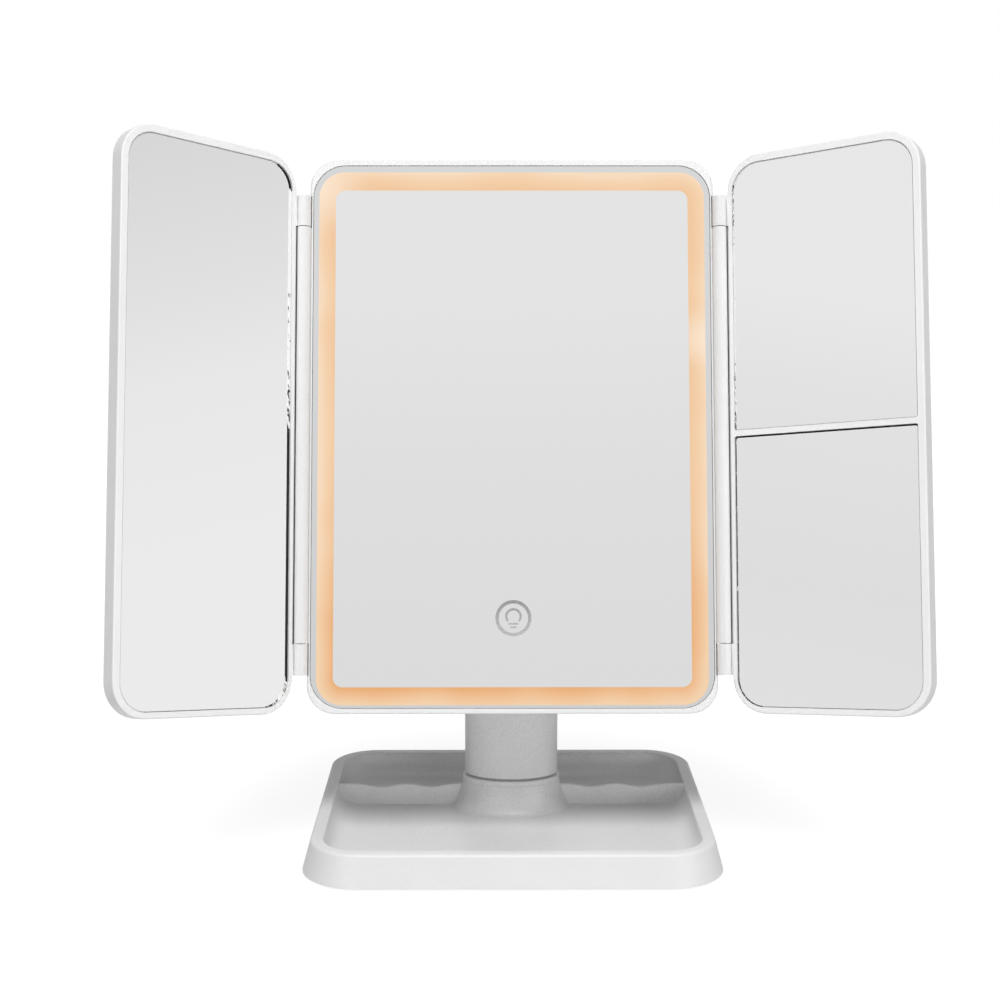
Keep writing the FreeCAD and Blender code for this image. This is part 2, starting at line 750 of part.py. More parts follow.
def post():
    body = new_body("post")
    shaft = ellipse(body, "post_width", "post_depth", y="post_y", z=POST_START)
    pad(body, shaft, f"{SHOULDER} - {POST_START}")
    fillet(body, edges_at(body, POST_START), "post_edge_round")
    fillet(body, edges_at(body, SHOULDER), "shoulder_round")
    tenon = ellipse(
        body, "post_width - 2 * tenon_inset", "post_depth - 2 * tenon_inset", y="post_y",
        z=f"{SOCKET_BED} + seat_gap",
    )
    pad(body, tenon, "socket_depth + neck_seam")
    neck = rectangle(
        body, "2 * knuckle_radius", "shoulder_drop + post_edge_round", x="-knuckle_width / 2", y="post_y",
        z="tilt_axis_z - (shoulder_drop + post_edge_round) / 2", plane="YZ_Plane",
    )
    pad(body, neck, "knuckle_width")
    knuckle = circle(
        body, "2 * knuckle_radius", x="-knuckle_width / 2", y="post_y", z="tilt_axis_z", plane="YZ_Plane"
    )
    pad(body, knuckle, "knuckle_width")
    bore = circle(
        body, "shaft_diameter + 2 * shaft_play", x="knuckle_width / 2 + 1", y="post_y", z="tilt_axis_z",
        plane="YZ_Plane",
    )
    pocket(body, bore, "knuckle_width + 2")
    hollow = ellipse(
        body, "post_width - 2 * post_wall", "post_depth - 2 * post_wall", y="post_y", z=f"{SOCKET_BED} - 1"
    )
    pocket(body, hollow, f"{SHOULDER} - post_top_wall - ({SOCKET_BED} - 1)", back=True)
    column_base = f"{SOCKET_BED} + seat_gap"
    web = rectangle(body, "post_width - 2 * post_wall + 1", "column_web", y="post_y", z=column_base)
    pad(body, web, "column_height")
    for side in ENDS:
        column = circle(body, "column_diameter", x=f"{side} * column_x", y="post_y", z=column_base)
        pad(body, column, "column_height")
    for side in ENDS:
        pilot = circle(
            body, PILOT, x=f"{side} * column_x", y="post_y",
            z=f"{column_base} + post_screw_length",
        )
        pocket(body, pilot, "post_screw_length + 1")
    return body


def post_screws():
    places = [(f"{side} * column_x", "post_y") for side in ENDS]
    level = f"{SOCKET_BED} - socket_floor - screw_head_height - seat_gap"
    return group("post_screws", screw("post_screw", "post_screw_length"), spots(places, level))


# Head


def hinge_lines(body, diameter, half_length):
    """Sketches of round bars on both hinge lines, each at its upper end."""
    return [
        circle(body, diameter, x=f"{side} * {HINGE_X}", y=half_length, z="hinge_rise", plane="XZ_Plane")
        for side in ENDS
    ]


def head_front_frame():
    body = new_body("head_front_frame")
    pad(body, outline(body, "0", "0"), "frame_depth", back=True)
    fillet(body, edges_at(body, "0"), "front_edge_round")
    pocket(body, opening(body, "0", "0"), LEDGE_FRONT)
    pocket(body, ledge_outline(body, "band_inset", "0"), "frame_depth")
    pocket(body, outline(body, "frame_wall", LEDGE_BACK), "frame_depth")
    relief = f"({BARREL_HALF} + 2 * knuckle_gap + knuckle_length)"
    for line in hinge_lines(body, "barrel_diameter + 2 * relief_gap", relief):
        pocket(body, line, f"2 * {relief}", back=True)
    thrust = f"({KNUCKLE_START} - thrust_play)"
    for diameter, half_length in (("barrel_diameter", BARREL_HALF), ("thrust_diameter", thrust)):
        for line in hinge_lines(body, diameter, half_length):
            pad(body, line, f"2 * {half_length}")
    inner = "(panel_width / 2 - web_overlap)"
    for side in ENDS:
        web = rectangle(
            body, f"{HINGE_X} - {inner}", f"-{WEB_LOW}", x=f"{side} * ({HINGE_X} + {inner}) / 2",
            y=BARREL_HALF, z=f"{WEB_LOW} / 2", plane="XZ_Plane",
        )
        pad(body, web, f"2 * {BARREL_HALF}")
        for start in (f"-{KNUCKLE_START}", f"{BARREL_HALF} - pin_engagement"):
            bore = circle(
                body, "pin_diameter + 2 * pin_play", x=f"{side} * {HINGE_X}", y=start, z="hinge_rise",
                plane="XZ_Plane",
            )
            pocket(body, bore, "pin_engagement + knuckle_gap")
    return body


def main_mirror_glass():
    body = new_body("main_mirror_glass")
    pad(body, opening(body, "mirror_play", "mirror_recess"), "mirror_thickness", back=True)
    chamfer(body, edges_at(body, "-mirror_recess"), "mirror_bevel")
    return body


def mirror_tape():
    body = new_body("mirror_tape")
    pad(body, opening(body, "(mirror_play + tape_inset)", MIRROR_BACK), "tape_thickness", back=True)
    pocket(body, ledge_outline(body, "(band_inset - tape_inset)", MIRROR_BACK), "tape_thickness")
    return body


def light_diffuser():
    """A milky frame over the trough, held between the ledge and the chassis."""
    body = new_body("light_diffuser")
    insets = ("(frame_wall + chassis_play)", f"({PLATE_INSET} - chassis_play)")
    ring(body, *insets, f"({LEDGE_BACK} + diffuser_play)", "diffuser_thickness")
    return body


def inner_chassis():
    """The tray behind the mirror: a light trough round a raised plate that carries the electronics."""
    body = new_body("inner_chassis")
    rim_inset = "(frame_wall + chassis_play)"
    pad(body, outline(body, rim_inset, CHASSIS_TOP), f"{CHASSIS_BACK} - {CHASSIS_TOP}", back=True)
    raised = rounded_rectangle(
        body, f"panel_width - 2 * {PLATE_INSET}", f"panel_height - 2 * {PLATE_INSET}", "least_corner",
        z=f"-{LEDGE_FRONT}",
    )
    pad(body, raised, f"{CHASSIS_TOP} - {LEDGE_FRONT} + plate_thickness", back=True)
    pocket(body, ring_sketch(body, "band_inset", TROUGH_INSET, CHASSIS_TOP), "trough_depth")
    cavity_inset = f"({PLATE_INSET} + plate_thickness)"
    cavity = rounded_rectangle(
        body, f"panel_width - 2 * {cavity_inset}", f"panel_height - 2 * {cavity_inset}", "least_corner",
        z=f"-{PLATE_BACK}",
    )
    pocket(body, cavity, "panel_depth")
    bosses = [(x, y, f"{HOUSING_FLOOR} - seat_gap") for x, y in housing_screw_places()]
    bosses += [(x, y, f"{BACKING_FRONT} - seat_gap") for x, y in bracket_screw_places()]
    for x, y, end in bosses:
        boss = circle(body, "boss_diameter", x=x, y=y, z=f"-{LEDGE_FRONT}")
        pad(body, boss, f"{end} - {LEDGE_FRONT}", back=True)
        pilot = circle(body, PILOT, x=x, y=y, z=f"-({end} - screw_length)")
        pocket(body, pilot, "screw_length + 1")
    for x, y in standoff_places():
        stud = circle(body, "standoff_diameter", x=x, y=y, z=f"-{LEDGE_FRONT}")
        pad(body, stud, f"{BOARD_FRONT} - {LEDGE_FRONT}", back=True)
        pilot = circle(body, "board_screw_shank + 2 * thread_play", x=x, y=y, z=f"-({LEDGE_FRONT} + 1)")
        pocket(body, pilot, "board_standoff + plate_thickness")
    touch = circle(body, "touch_hole", y=TOUCH_Y, z=f"-({LEDGE_FRONT} - 1)")
    pocket(body, touch, "plate_thickness + 2")
    for step in ENDS:
        hole = circle(
            body, "lead_diameter + 2 * lead_hole_play", x=f"led_connector_x + {step} * lead_spacing / 2",
            y=f"{STRIP_INSET} - panel_height / 2", z=f"-({TROUGH_BED} - 1)",
        )
        pocket(body, hole, "trough_floor + 2")
    return body


def housing_screw_places():
    """Four corner screws and one on each side of the middle."""
    middle = [(f"{side} * {HOUSING_SCREW_X}", "0") for side in ENDS]
    return four_corners(HOUSING_SCREW_X, HOUSING_SCREW_Y) + middle


def bracket_screw_places():
    return [(x, f"{y} - tilt_axis_drop") for x, y in four_corners("bracket_screw_x", "bracket_screw_y")]


def standoff_places():
    places = four_corners("(board_width / 2 - standoff_inset)", "(board_height / 2 - standoff_inset)")
    return [(x, f"{y} + {BOARD_Y}") for x, y in places]


def head_rear_housing():
    body = new_body("head_rear_housing")
    start = "(frame_depth + seam_gap)"
    pad(body, outline(body, "housing_inset", start), f"panel_depth - {start}", back=True)
    fillet(body, edges_at(body, "-panel_depth"), "housing_corner_round")
    step = outline(body, "(housing_inset + housing_lip)", start)
    pocket(body, step, f"{CHASSIS_BACK} + seat_gap - {start}")
    cavity = outline(body, "(housing_inset + housing_wall)", start)
    pocket(body, cavity, f"{HOUSING_FLOOR} - {start}")
    backing = rounded_rectangle(
        body, "bracket_width + 2 * bracket_backing_margin", "bracket_height + 2 * bracket_backing_margin",
        "bracket_corner", y="-tilt_axis_drop", z=f"-{BACKING_FRONT}",
    )
    pad(body, backing, "bracket_backing + housing_back / 2", back=True)
    seat = rounded_rectangle(
        body, "bracket_width + 2 * bracket_play", "bracket_height + 2 * bracket_play",
        "bracket_corner + bracket_play", y="-tilt_axis_drop", z="-(panel_depth - bracket_plate)",
    )
    pocket(body, seat, "bracket_plate + 1")
    for x, y in housing_screw_places():
        hole = circle(body, CLEAR, x=x, y=y, z=f"-({HOUSING_FLOOR} - 1)")
        pocket(body, hole, "housing_back + 2")
        sink = circle(body, SINK, x=x, y=y, z="-(panel_depth - screw_head_height)")
        pocket(body, sink, "screw_head_height + 1")
    for x, y in bracket_screw_places():
        hole = circle(body, CLEAR, x=x, y=y, z=f"-({BACKING_FRONT} - 1)")
        pocket(body, hole, "bracket_backing + housing_back + 2")
    socket = rounded_rectangle(
        body, "usb_width + 2 * usb_play", "usb_height + 2 * usb_play", "usb_height / 2", x="usb_x", y=USB_Y,
        z=f"-({HOUSING_FLOOR} - 1)",
    )
    pocket(body, socket, "housing_back + 2")
    return body


def led_strip():
    """A flexible board that lines the bed of the trough."""
    body = new_body("led_strip")
    insets = (f"({STRIP_INSET} - strip_width / 2)", f"({STRIP_INSET} + strip_width / 2)")
    ring(body, *insets, f"({TROUGH_BED} - strip_thickness)", "strip_thickness")
    return body


def led_chips():
    """Chips along the middle of the strip, evenly spaced on each side."""
    chip = doc.addObject("Part::Box", "chip_blank")
    for side, name in (("Length", "chip_length"), ("Width", "chip_width"), ("Height", "chip_height")):
        chip.setExpression(side, bound(name))
    chip.setExpression("Placement.Base.x", bound("-chip_length / 2"))
    chip.setExpression("Placement.Base.y", bound("-chip_width / 2"))
    doc.recompute()
    level = value(f"strip_thickness - {TROUGH_BED}")
    across = value(f"panel_width / 2 - {STRIP_INSET}")
    up = value(f"panel_height / 2 - {STRIP_INSET}")
    places = []
    for reach, other, angle in ((across, up, 0), (up, across, 90)):
        span = 2 * (reach - value("chip_end_gap"))
        steps = int(span / value("chip_pitch"))
        for i in range(steps + 1):
            along = span * (i / steps - 0.5)
            for side in ENDS:
                x, y = (along, side * other) if angle == 0 else (side * other, along)
                places.append(Placement(Vector(x, y, level), Rotation(Vector(0, 0, 1), angle)))
    return group("led_chips", chip.Shape, places)


def control_board():
    body = new_body("control_board")
    board = rectangle(body, "board_width", "board_height", y=BOARD_Y, z=f"-{BOARD_FRONT}")
    pad(body, board, "board_thickness", back=True)
    connector = ("connector_width", "connector_depth", "connector_height")
    components = (
        ("0", BATTERY_PLUG_Y, *connector),
        ("led_connector_x", LED_PLUG_Y, *connector),
        ("controller_x", BOARD_Y, "controller_side", "controller_side", "controller_height"),
    )
    for x, y, width, depth, height in components:
        chip = rectangle(body, width, depth, x=x, y=y, z=f"-({BOARD_BACK} - board_thickness / 2)")
        pad(body, chip, f"{height} + board_thickness / 2", back=True)
    for x, y in standoff_places():
        hole = circle(body, "board_screw_shank + screw_clearance", x=x, y=y, z=f"-({BOARD_FRONT} - 1)")
        pocket(body, hole, "board_thickness + 2")
    return body


def board_screws():
    shape = screw(
        "board_screw", "board_screw_length + board_screw_head_height", head="board_screw_head",
        head_height="board_screw_head_height", shank="board_screw_shank",
    )
    level = f"-({BOARD_BACK} + board_screw_head_height)"
    return group("board_screws", shape, spots(standoff_places(), level))


def usb_socket():
    """An upright receptacle on the board, its mouth just inside the housing's slot."""
    body = new_body("usb_socket")
    mouth = "(panel_depth - usb_below_face)"
    bed = f"({mouth} - usb_depth)"
    place = {"x": "usb_x", "y": USB_Y}
    shell = rounded_rectangle(body, "usb_width", "usb_height", "usb_corner", z=f"-{BOARD_BACK}", **place)
    pad(body, shell, f"{mouth} - {BOARD_BACK}", back=True)
    inner = rounded_rectangle(
        body, "usb_width - 2 * usb_shell", "usb_height - 2 * usb_shell", "usb_corner - usb_shell",
        z=f"-{bed}", **place,
    )
    pocket(body, inner, "usb_depth + 1")
    tongue = rectangle(body, "usb_tongue_width", "usb_tongue_height", z=f"-({bed} - usb_shell)", **place)
    pad(body, tongue, "usb_tongue_length + usb_shell", back=True)
    return body


def touch_sensor():
    """A copper disc bonded behind the key mark."""
    body = new_body("touch_sensor")
    disc = circle(body, "touch_disc", y=TOUCH_Y, z=f"-{MIRROR_BACK}")
    pad(body, disc, "touch_disc_thickness", back=True)
    return body


def touch_pin():
    body = new_body("touch_pin")
    start = f"({MIRROR_BACK} + touch_disc_thickness)"
    pin = circle(body, "touch_pin", y=TOUCH_Y, z=f"-{start}")
    pad(body, pin, f"{BOARD_FRONT} - {start}", back=True)
    return body


def battery_cell():
    body = new_body("battery_cell")
    cell = rounded_rectangle(
        body, "battery_width", "battery_height", "2 * battery_round", y=BATTERY_Y, z=f"-{BATTERY_FRONT}"
    )
    pad(body, cell, "battery_thickness", back=True)
    fillet(body, edges_at(body, f"-({BATTERY_FRONT} + battery_thickness)"), "battery_round")
    return body


def battery_tape():
    body = new_body("battery_tape")
    patch = rectangle(
        body, "battery_width - 4 * battery_round", "battery_height - 4 * battery_round", y=BATTERY_Y,
        z=f"-{PLATE_BACK}",
    )
    pad(body, patch, "tape_thickness", back=True)
    return body


def battery_leads():
    """Two leads from the cell's lower edge to the board."""
    cell_depth = value(f"{BATTERY_FRONT} + battery_thickness / 2")
    plug_depth = value(PLUG_DEPTH)
    top = value(f"{BATTERY_Y} - battery_height / 2")
    bottom = value(f"{BATTERY_PLUG_Y} + connector_depth / 2")
    run = (top - bottom) / 4
    heights = (top, top - run, bottom + run, bottom)
    depths = (cell_depth, cell_depth, plug_depth, plug_depth)
    shift = value("lead_spacing / 2")
    routes = [[Vector(side * shift, y, -depth) for y, depth in zip(heights, depths)] for side in ENDS]
    return lead("battery_leads", routes)


def led_leads():
    """Two leads from the back of the strip, through the chassis and up to the board."""
    bed = value(TROUGH_BED)
    turn = max(value(PLUG_DEPTH), value(f"{TROUGH_BED} + lead_bend + lead_diameter / 2"))
    low = value(f"{STRIP_INSET} - panel_height / 2")
    plug = value(f"{LED_PLUG_Y} - connector_depth / 2")
    routes = []
    for side in ENDS:
        x = value(f"led_connector_x + {side} * lead_spacing / 2")
        routes.append([Vector(x, low, -bed), Vector(x, low, -turn), Vector(x, plug, -turn)])
    return lead("led_leads", routes)


def mirror_pads():
    """Adhesive pads that bond the centre mirror to the chassis."""
    pad_blank = doc.addObject("Part::Box", "pad_blank")
    for side, name in (("Length", "pad_width"), ("Width", "pad_height"), ("Height", "tape_thickness")):
        pad_blank.setExpression(side, bound(name))
    pad_blank.setExpression("Placement.Base.x", bound("-pad_width / 2"))
    pad_blank.setExpression("Placement.Base.y", bound("-pad_height / 2"))
    doc.recompute()
    places = four_corners("panel_width / 4", "panel_height / 4")
    return group("mirror_pads", pad_blank.Shape, spots(places, f"-{LEDGE_FRONT}"))


def housing_screws():
    shape = screw("housing_screw", "screw_length")
    return group("housing_screws", shape, spots(housing_screw_places(), "-panel_depth"))


def tilt_bracket():
    """A plate let into the housing, with two ears that carry the tilt shaft."""
    body = new_body("tilt_bracket")
    axis = {"y": "-tilt_axis_drop", "z": "-tilt_axis_depth", "plane": "YZ_Plane"}
    plate = rounded_rectangle(
        body, "bracket_width", "bracket_height", "bracket_corner", y="-tilt_axis_drop",
        z="-(panel_depth - bracket_plate)",
    )
    pad(body, plate, "bracket_plate", back=True)
    arm = "(tilt_axis_depth - panel_depth + bracket_plate / 2)"
    for side in ENDS:
        start = EAR_INNER if side > 0 else f"-{EAR_OUTER}"
        stem = rectangle(
            body, "2 * ear_radius", arm, x=start, y="-tilt_axis_drop", z=f"-tilt_axis_depth + {arm} / 2",
            plane="YZ_Plane",
        )
        pad(body, stem, "ear_thickness")
        pad(body, circle(body, "2 * ear_radius", x=start, **axis), "ear_thickness")
        sink = circle(body, "counterbore", x=f"{side} * ({EAR_OUTER} - counterbore_depth)", **axis)
        pocket(body, sink, "counterbore_depth + 1", back=side > 0)
        bore = circle(body, "shaft_diameter + 2 * shaft_play", x=f"{side} * ({EAR_INNER} - 1)", **axis)
        pocket(body, bore, "ear_thickness + 2", back=side > 0)
    for x, y in bracket_screw_places():
        countersink(body, x, y, "-panel_depth", "bracket_plate")
    return body


def bracket_screws():
    shape = screw("bracket_screw", "bracket_screw_length", head_height="bracket_plate", sunk=True)
    return group("bracket_screws", shape, spots(bracket_screw_places(), "-panel_depth"))


def on_tilt_axis(body, diameter, start):
    return circle(body, diameter, x=start, y="-tilt_axis_drop", z="-tilt_axis_depth", plane="YZ_Plane")


def tilt_shaft():
    """A shoulder bolt through the ears and the post's knuckle."""
    body = new_body("tilt_shaft")
    shoulder = f"({EAR_OUTER} - counterbore_depth)"
    pad(body, on_tilt_axis(body, "shaft_head", f"-({shoulder} + shaft_head_height)"), "shaft_head_height")
    pad(body, on_tilt_axis(body, "shaft_diameter", f"-({shoulder} + 1)"), f"2 * {shoulder} + nut_height + 1")
    return body


def tilt_nut():
    """A round lock nut in the right ear."""
    body = new_body("tilt_nut")
    start = f"({EAR_OUTER} - counterbore_depth)"
    pad(body, on_tilt_axis(body, "shaft_head", start), "nut_height")
    bore = on_tilt_axis(body, "shaft_diameter + 2 * pin_press_play", f"{start} - 1")
    pocket(body, bore, "nut_height + 2", back=True)
    return body


def along_tilt_axis(start, angle):
    """A placement on the tilt axis, local Z pointing right for 90 degrees and left for -90."""
    base = Vector(value(start), value("-tilt_axis_drop"), value("-tilt_axis_depth"))
    return Placement(base, Rotation(Vector(0, 1, 0), angle))


def tilt_washers():
    """Two friction washers, one between the knuckle and each ear."""
    washer = doc.addObject("Part::Cut", "washer_blank")
    washer.Base = round_bar("washer_disc", "washer_diameter", "washer_thickness")
    washer.Tool = round_bar("washer_bore", "shaft_diameter + 2 * shaft_play", "washer_thickness")
    doc.recompute()
    inner = "(knuckle_width / 2 + washer_gap)"
    places = [along_tilt_axis(f"{side} * {inner}", 90 * side) for side in ENDS]
    return group("tilt_washers", washer.Shape, places)


def tilt_caps():
    """Two caps that cover the shaft's head and nut."""
    cap = round_bar("cap_blank", "cap_diameter", "cap_thickness")
    doc.recompute()
    rim = [edge for edge in cap.Shape.Edges if edge.BoundBox.ZMin > TOUCH]
    shape = cap.Shape.makeFillet(value("cap_round"), rim)
    return group("tilt_caps", shape, [along_tilt_axis(f"{side} * {EAR_OUTER}", 90 * side) for side in ENDS])


# Wings

WING_WIDTH = f"({WING_REACH} - wing_hinge_gap)"
WING_CENTRE = f"(({WING_REACH} + wing_hinge_gap) / 2)"
GLASS_WIDTH = f"({WING_WIDTH} - wing_rim - wing_hinge_rim)"
GLASS_CENTRE = f"({WING_CENTRE} + (wing_hinge_rim - wing_rim) / 2)"
WINDOW_TOP = "(panel_height / 2 - wing_rim)"
WINDOW_LOW = f"(-{WINDOW_TOP})"


class Window:
    """A mirror opening of a wing, between two heights, with its lower and upper corner radius."""

    def __init__(self, label, low, high, *corners):
        self.label = label
        self.middle = f"(({low} + {high}) / 2)"
        self.height = f"({high} - {low})"
        self.corners = corners

    def outline(self, side, body, inset, depth):
        """This opening moved in by an inset, on a wing at a depth behind its front."""
        return rounded_rectangle(
            body, f"{GLASS_WIDTH} - 2 * {inset}", f"{self.height} - 2 * {inset}",
            *[f"max({corner} - {inset}; {inset})" for corner in self.corners],
            x=f"{side} * {GLASS_CENTRE}", y=self.middle, z=f"-{depth}",
        )


BAR_TOP = "(divider_bar_y + divider_bar / 2)"
BAR_LOW = "(divider_bar_y - divider_bar / 2)"
WINDOW_CORNER = "(wing_corner - wing_rim)"
WINDOWS = {
    "left": (Window("left_wing_mirror", WINDOW_LOW, WINDOW_TOP, WINDOW_CORNER, WINDOW_CORNER),),
    "right": (
        Window("right_upper_mirror", BAR_TOP, WINDOW_TOP, "divider_bar_corner", WINDOW_CORNER),
        Window("right_lower_mirror", WINDOW_LOW, BAR_LOW, WINDOW_CORNER, "divider_bar_corner"),
    ),
}


def wrap_barrel(body, side):
    """Carries the wing's edge round behind the barrel, so that no light shows between them."""
    width = "(wing_hinge_gap + web_overlap - cove_start)"
    height = "(cove_depth - front_edge_round)"
    strip = rectangle(
        body, width, height, x=f"{side} * (cove_start + {width} / 2)", y=KNUCKLE_START,
        z=f"-(cove_depth - {height} / 2)", plane="XZ_Plane",
    )
    pad(body, strip, f"2 * {KNUCKLE_START}")
    cove = circle(
        body, "barrel_diameter + 2 * cove_gap", y=KNUCKLE_START, z="hinge_rise", plane="XZ_Plane"
    )
    pocket(body, cove, f"2 * {KNUCKLE_START}", back=True)


def wing_frame(name, side):
    body = new_body(f"{name}_wing_frame")
    shell = rounded_rectangle(
        body, WING_WIDTH, "panel_height - wing_rim + wing_lower_rim", "wing_corner",
        x=f"{side} * {WING_CENTRE}", y="(wing_rim - wing_lower_rim) / 2",
    )
    pad(body, shell, "wing_depth", back=True)
    fillet(body, edges_at(body, "0"), "front_edge_round")
    fillet(body, edges_at(body, "-wing_depth"), "wing_back_round")
    for window in WINDOWS[name]:
        pocket(body, window.outline(side, body, "0", "0"), LEDGE_FRONT)
        hollow = window.outline(side, body, "wing_ledge", LEDGE_FRONT)
        pocket(body, hollow, f"wing_depth - wing_back - {LEDGE_FRONT}")
    if name == "left":
        for level in ENDS:
            rib = rectangle(
                body, f"{GLASS_WIDTH} - wing_ledge", "wing_rib", x=f"{side} * {GLASS_CENTRE}",
                y=f"{level} * {WINDOW_TOP} / 3", z=f"-{LEDGE_FRONT}",
            )
            pad(body, rib, f"wing_depth - wing_back - {LEDGE_FRONT}", back=True)
    wrap_barrel(body, side)
    for top in (KNUCKLE_END, f"(-{KNUCKLE_START})"):
        knuckle = circle(body, "barrel_diameter", y=top, z="hinge_rise", plane="XZ_Plane")
        pad(body, knuckle, "knuckle_length")
        web = rectangle(
            body, "wing_hinge_gap + web_overlap", f"-{WEB_LOW}",
            x=f"{side} * (wing_hinge_gap + web_overlap) / 2", y=top, z=f"{WEB_LOW} / 2", plane="XZ_Plane",
        )
        pad(body, web, "knuckle_length")
        bore = circle(
            body, "pin_diameter + 2 * pin_press_play", y=f"{top} - knuckle_length - 1", z="hinge_rise",
            plane="XZ_Plane",
        )
        pocket(body, bore, "knuckle_length + 2")
    return body


def wing_mirror(side, window):
    body = new_body(window.label)
    pad(body, window.outline(side, body, "mirror_play", "mirror_recess"), "mirror_thickness", back=True)
    chamfer(body, edges_at(body, "-mirror_recess"), "mirror_bevel")
    return body


def wing_tape(name, side):
    """Adhesive frames between the mirrors and their ledges."""
    frames = []
    for window in WINDOWS[name]:
        body = new_body(f"{window.label}_tape")
        patch = window.outline(side, body, "(mirror_play + tape_inset)", MIRROR_BACK)
        pad(body, patch, "tape_thickness", back=True)
        hole = window.outline(side, body, "(wing_ledge - tape_inset)", MIRROR_BACK)
        pocket(body, hole, "tape_thickness + 1")
        frames.append(body)
    doc.recompute()
    feature = doc.addObject("Part::Feature", f"{name}_wing_tape")
    feature.Label = f"{name}_wing_tape"
    feature.Shape = Part.makeCompound([body.Shape for body in frames])
    return feature


def hinge_pins(name):
    """Two pins, pressed into the knuckles and turning in the barrel's ends."""
    length = "pin_engagement + knuckle_gap + knuckle_length - 2 * pin_end_gap"
    pin = round_bar(f"{name}_pin_blank", "pin_diameter", length)
    doc.recompute()
    start = value(f"{BARREL_HALF} - pin_engagement + pin_end_gap")
    places = []
    for end in ENDS:
        base = Vector(0, end * start, value("hinge_rise"))
        places.append(Placement(base, Rotation(Vector(1, 0, 0), -90 * end)))
    return group(f"{name}_hinge_pins", pin.Shape, places)


# Assembly


def head_place():
    axis = Vector(0, value("post_y"), value("tilt_axis_z"))
    middle = Placement(Vector(0, value("tilt_axis_drop"), value("tilt_axis_depth")), Rotation())
    return Placement(axis, Rotation(Vector(1, 0, 0), 90 - value("tilt"))) * middle


def wing_place(name, side):
    rise = Vector(0, 0, value("hinge_rise"))
    line = Vector(value(f"{side} * {HINGE_X}"), 0, 0) + rise
    swing = Rotation(Vector(0, 1, 0), -side * value(f"{name}_swing"))
    return head_place() * Placement(line, swing) * Placement(-rise, Rotation())


BASE_PIECES = (base_tray, base_bottom_cover, base_weight_plate, base_feet, base_screws, post, post_screws)
HEAD_PIECES = (
    head_front_frame, head_rear_housing, inner_chassis, main_mirror_glass, mirror_tape, mirror_pads,
    light_diffuser, led_strip, led_chips, control_board, board_screws, usb_socket, touch_sensor, touch_pin,
    battery_cell, battery_tape, battery_leads, led_leads, housing_screws, tilt_bracket, bracket_screws,
    tilt_shaft, tilt_nut, tilt_washers, tilt_caps,
)


def build():
    """Every sub-part, placed at the rest pose."""
    placed = [(piece(), Placement()) for piece in BASE_PIECES]
    placed += [(piece(), head_place()) for piece in HEAD_PIECES]
    for name, side in SIDES.items():
        pieces = [wing_frame(name, side), wing_tape(name, side), hinge_pins(name)]
        pieces += [wing_mirror(side, window) for window in WINDOWS[name]]
        placed += [(piece, wing_place(name, side)) for piece in pieces]
    doc.recompute()
    for piece, place in placed:
        piece.Placement = place
    doc.recompute()
    return [piece for piece, _ in placed]


def check(pieces):
    for item in doc.Objects:
        if "Invalid" in item.State or "Error" in item.State:
            raise RuntimeError(f"{item.Label} failed: {item.State}")
    for piece in pieces:
        if piece.Shape.isNull() or not piece.Shape.isValid():
            raise RuntimeError(f"{piece.Label} has no valid shape")


def export(pieces):
    os.makedirs("parts", exist_ok=True)
    for piece in pieces:
        piece.Shape.exportStep(os.path.join("parts", f"{piece.Label}.step"))


pieces = build()
check(pieces)
export(pieces)
for piece in pieces:
    print(f"{piece.Label:20s} {len(piece.Shape.Solids):3d} solids {piece.Shape.Volume / 1000:9.3f} cm3")
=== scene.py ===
import json
import math

import bmesh
import bpy
from mathutils import Matrix, Vector


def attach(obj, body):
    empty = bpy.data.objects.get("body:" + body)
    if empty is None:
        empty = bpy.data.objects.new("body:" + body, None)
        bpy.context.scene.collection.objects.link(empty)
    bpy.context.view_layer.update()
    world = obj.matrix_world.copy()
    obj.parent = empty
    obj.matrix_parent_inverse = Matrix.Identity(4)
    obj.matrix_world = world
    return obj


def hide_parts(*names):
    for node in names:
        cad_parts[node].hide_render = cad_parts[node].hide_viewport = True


# Trifold vanity mirror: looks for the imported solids. Metres, with the CAD's own axes: +Z up, +Y away
# from the user. Pieces on the head are drawn in the panel's frame: X across, Y up the panel, Z out of
# the mirror, Z = 0 at the front of the bezel.

MM = 0.001

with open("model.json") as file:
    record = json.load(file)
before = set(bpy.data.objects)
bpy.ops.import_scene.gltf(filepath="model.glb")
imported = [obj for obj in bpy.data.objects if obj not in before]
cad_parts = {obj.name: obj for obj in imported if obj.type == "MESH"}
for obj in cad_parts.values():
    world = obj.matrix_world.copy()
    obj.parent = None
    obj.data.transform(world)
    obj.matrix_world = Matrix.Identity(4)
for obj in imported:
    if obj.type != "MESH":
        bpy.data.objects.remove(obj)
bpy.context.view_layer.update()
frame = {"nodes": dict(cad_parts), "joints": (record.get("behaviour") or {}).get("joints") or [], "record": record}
nodes = frame["nodes"]
joints = {joint["name"]: joint for joint in frame["joints"]}

# The tilt axis lies this far below and behind the middle of the bezel's front.
AXIS_DROP = 30.0 * MM
AXIS_DEPTH = 31.4 * MM
# The wings' hinge axes lie this far in front of the bezel.
HINGE_RISE = 0.46 * MM

PANEL_UP = Vector(joints["left_wing_fold"]["axis"])
PANEL_RIGHT = Vector((1, 0, 0))
PANEL_OUT = PANEL_RIGHT.cross(PANEL_UP)
PANEL_MIDDLE = Vector(joints["head_tilt"]["pos_m"]) + AXIS_DROP * PANEL_UP + AXIS_DEPTH * PANEL_OUT
HEAD = Matrix.Translation(PANEL_MIDDLE) @ Matrix((PANEL_RIGHT, PANEL_UP, PANEL_OUT)).transposed().to_4x4()

# The front and back of every mirror's glass, measured from the front of its frame.
GLASS_FRONT = -0.4 * MM
GLASS_BACK = -2.4 * MM
CORNER_STEPS = 16
SIDES = {"left": -1, "right": 1}


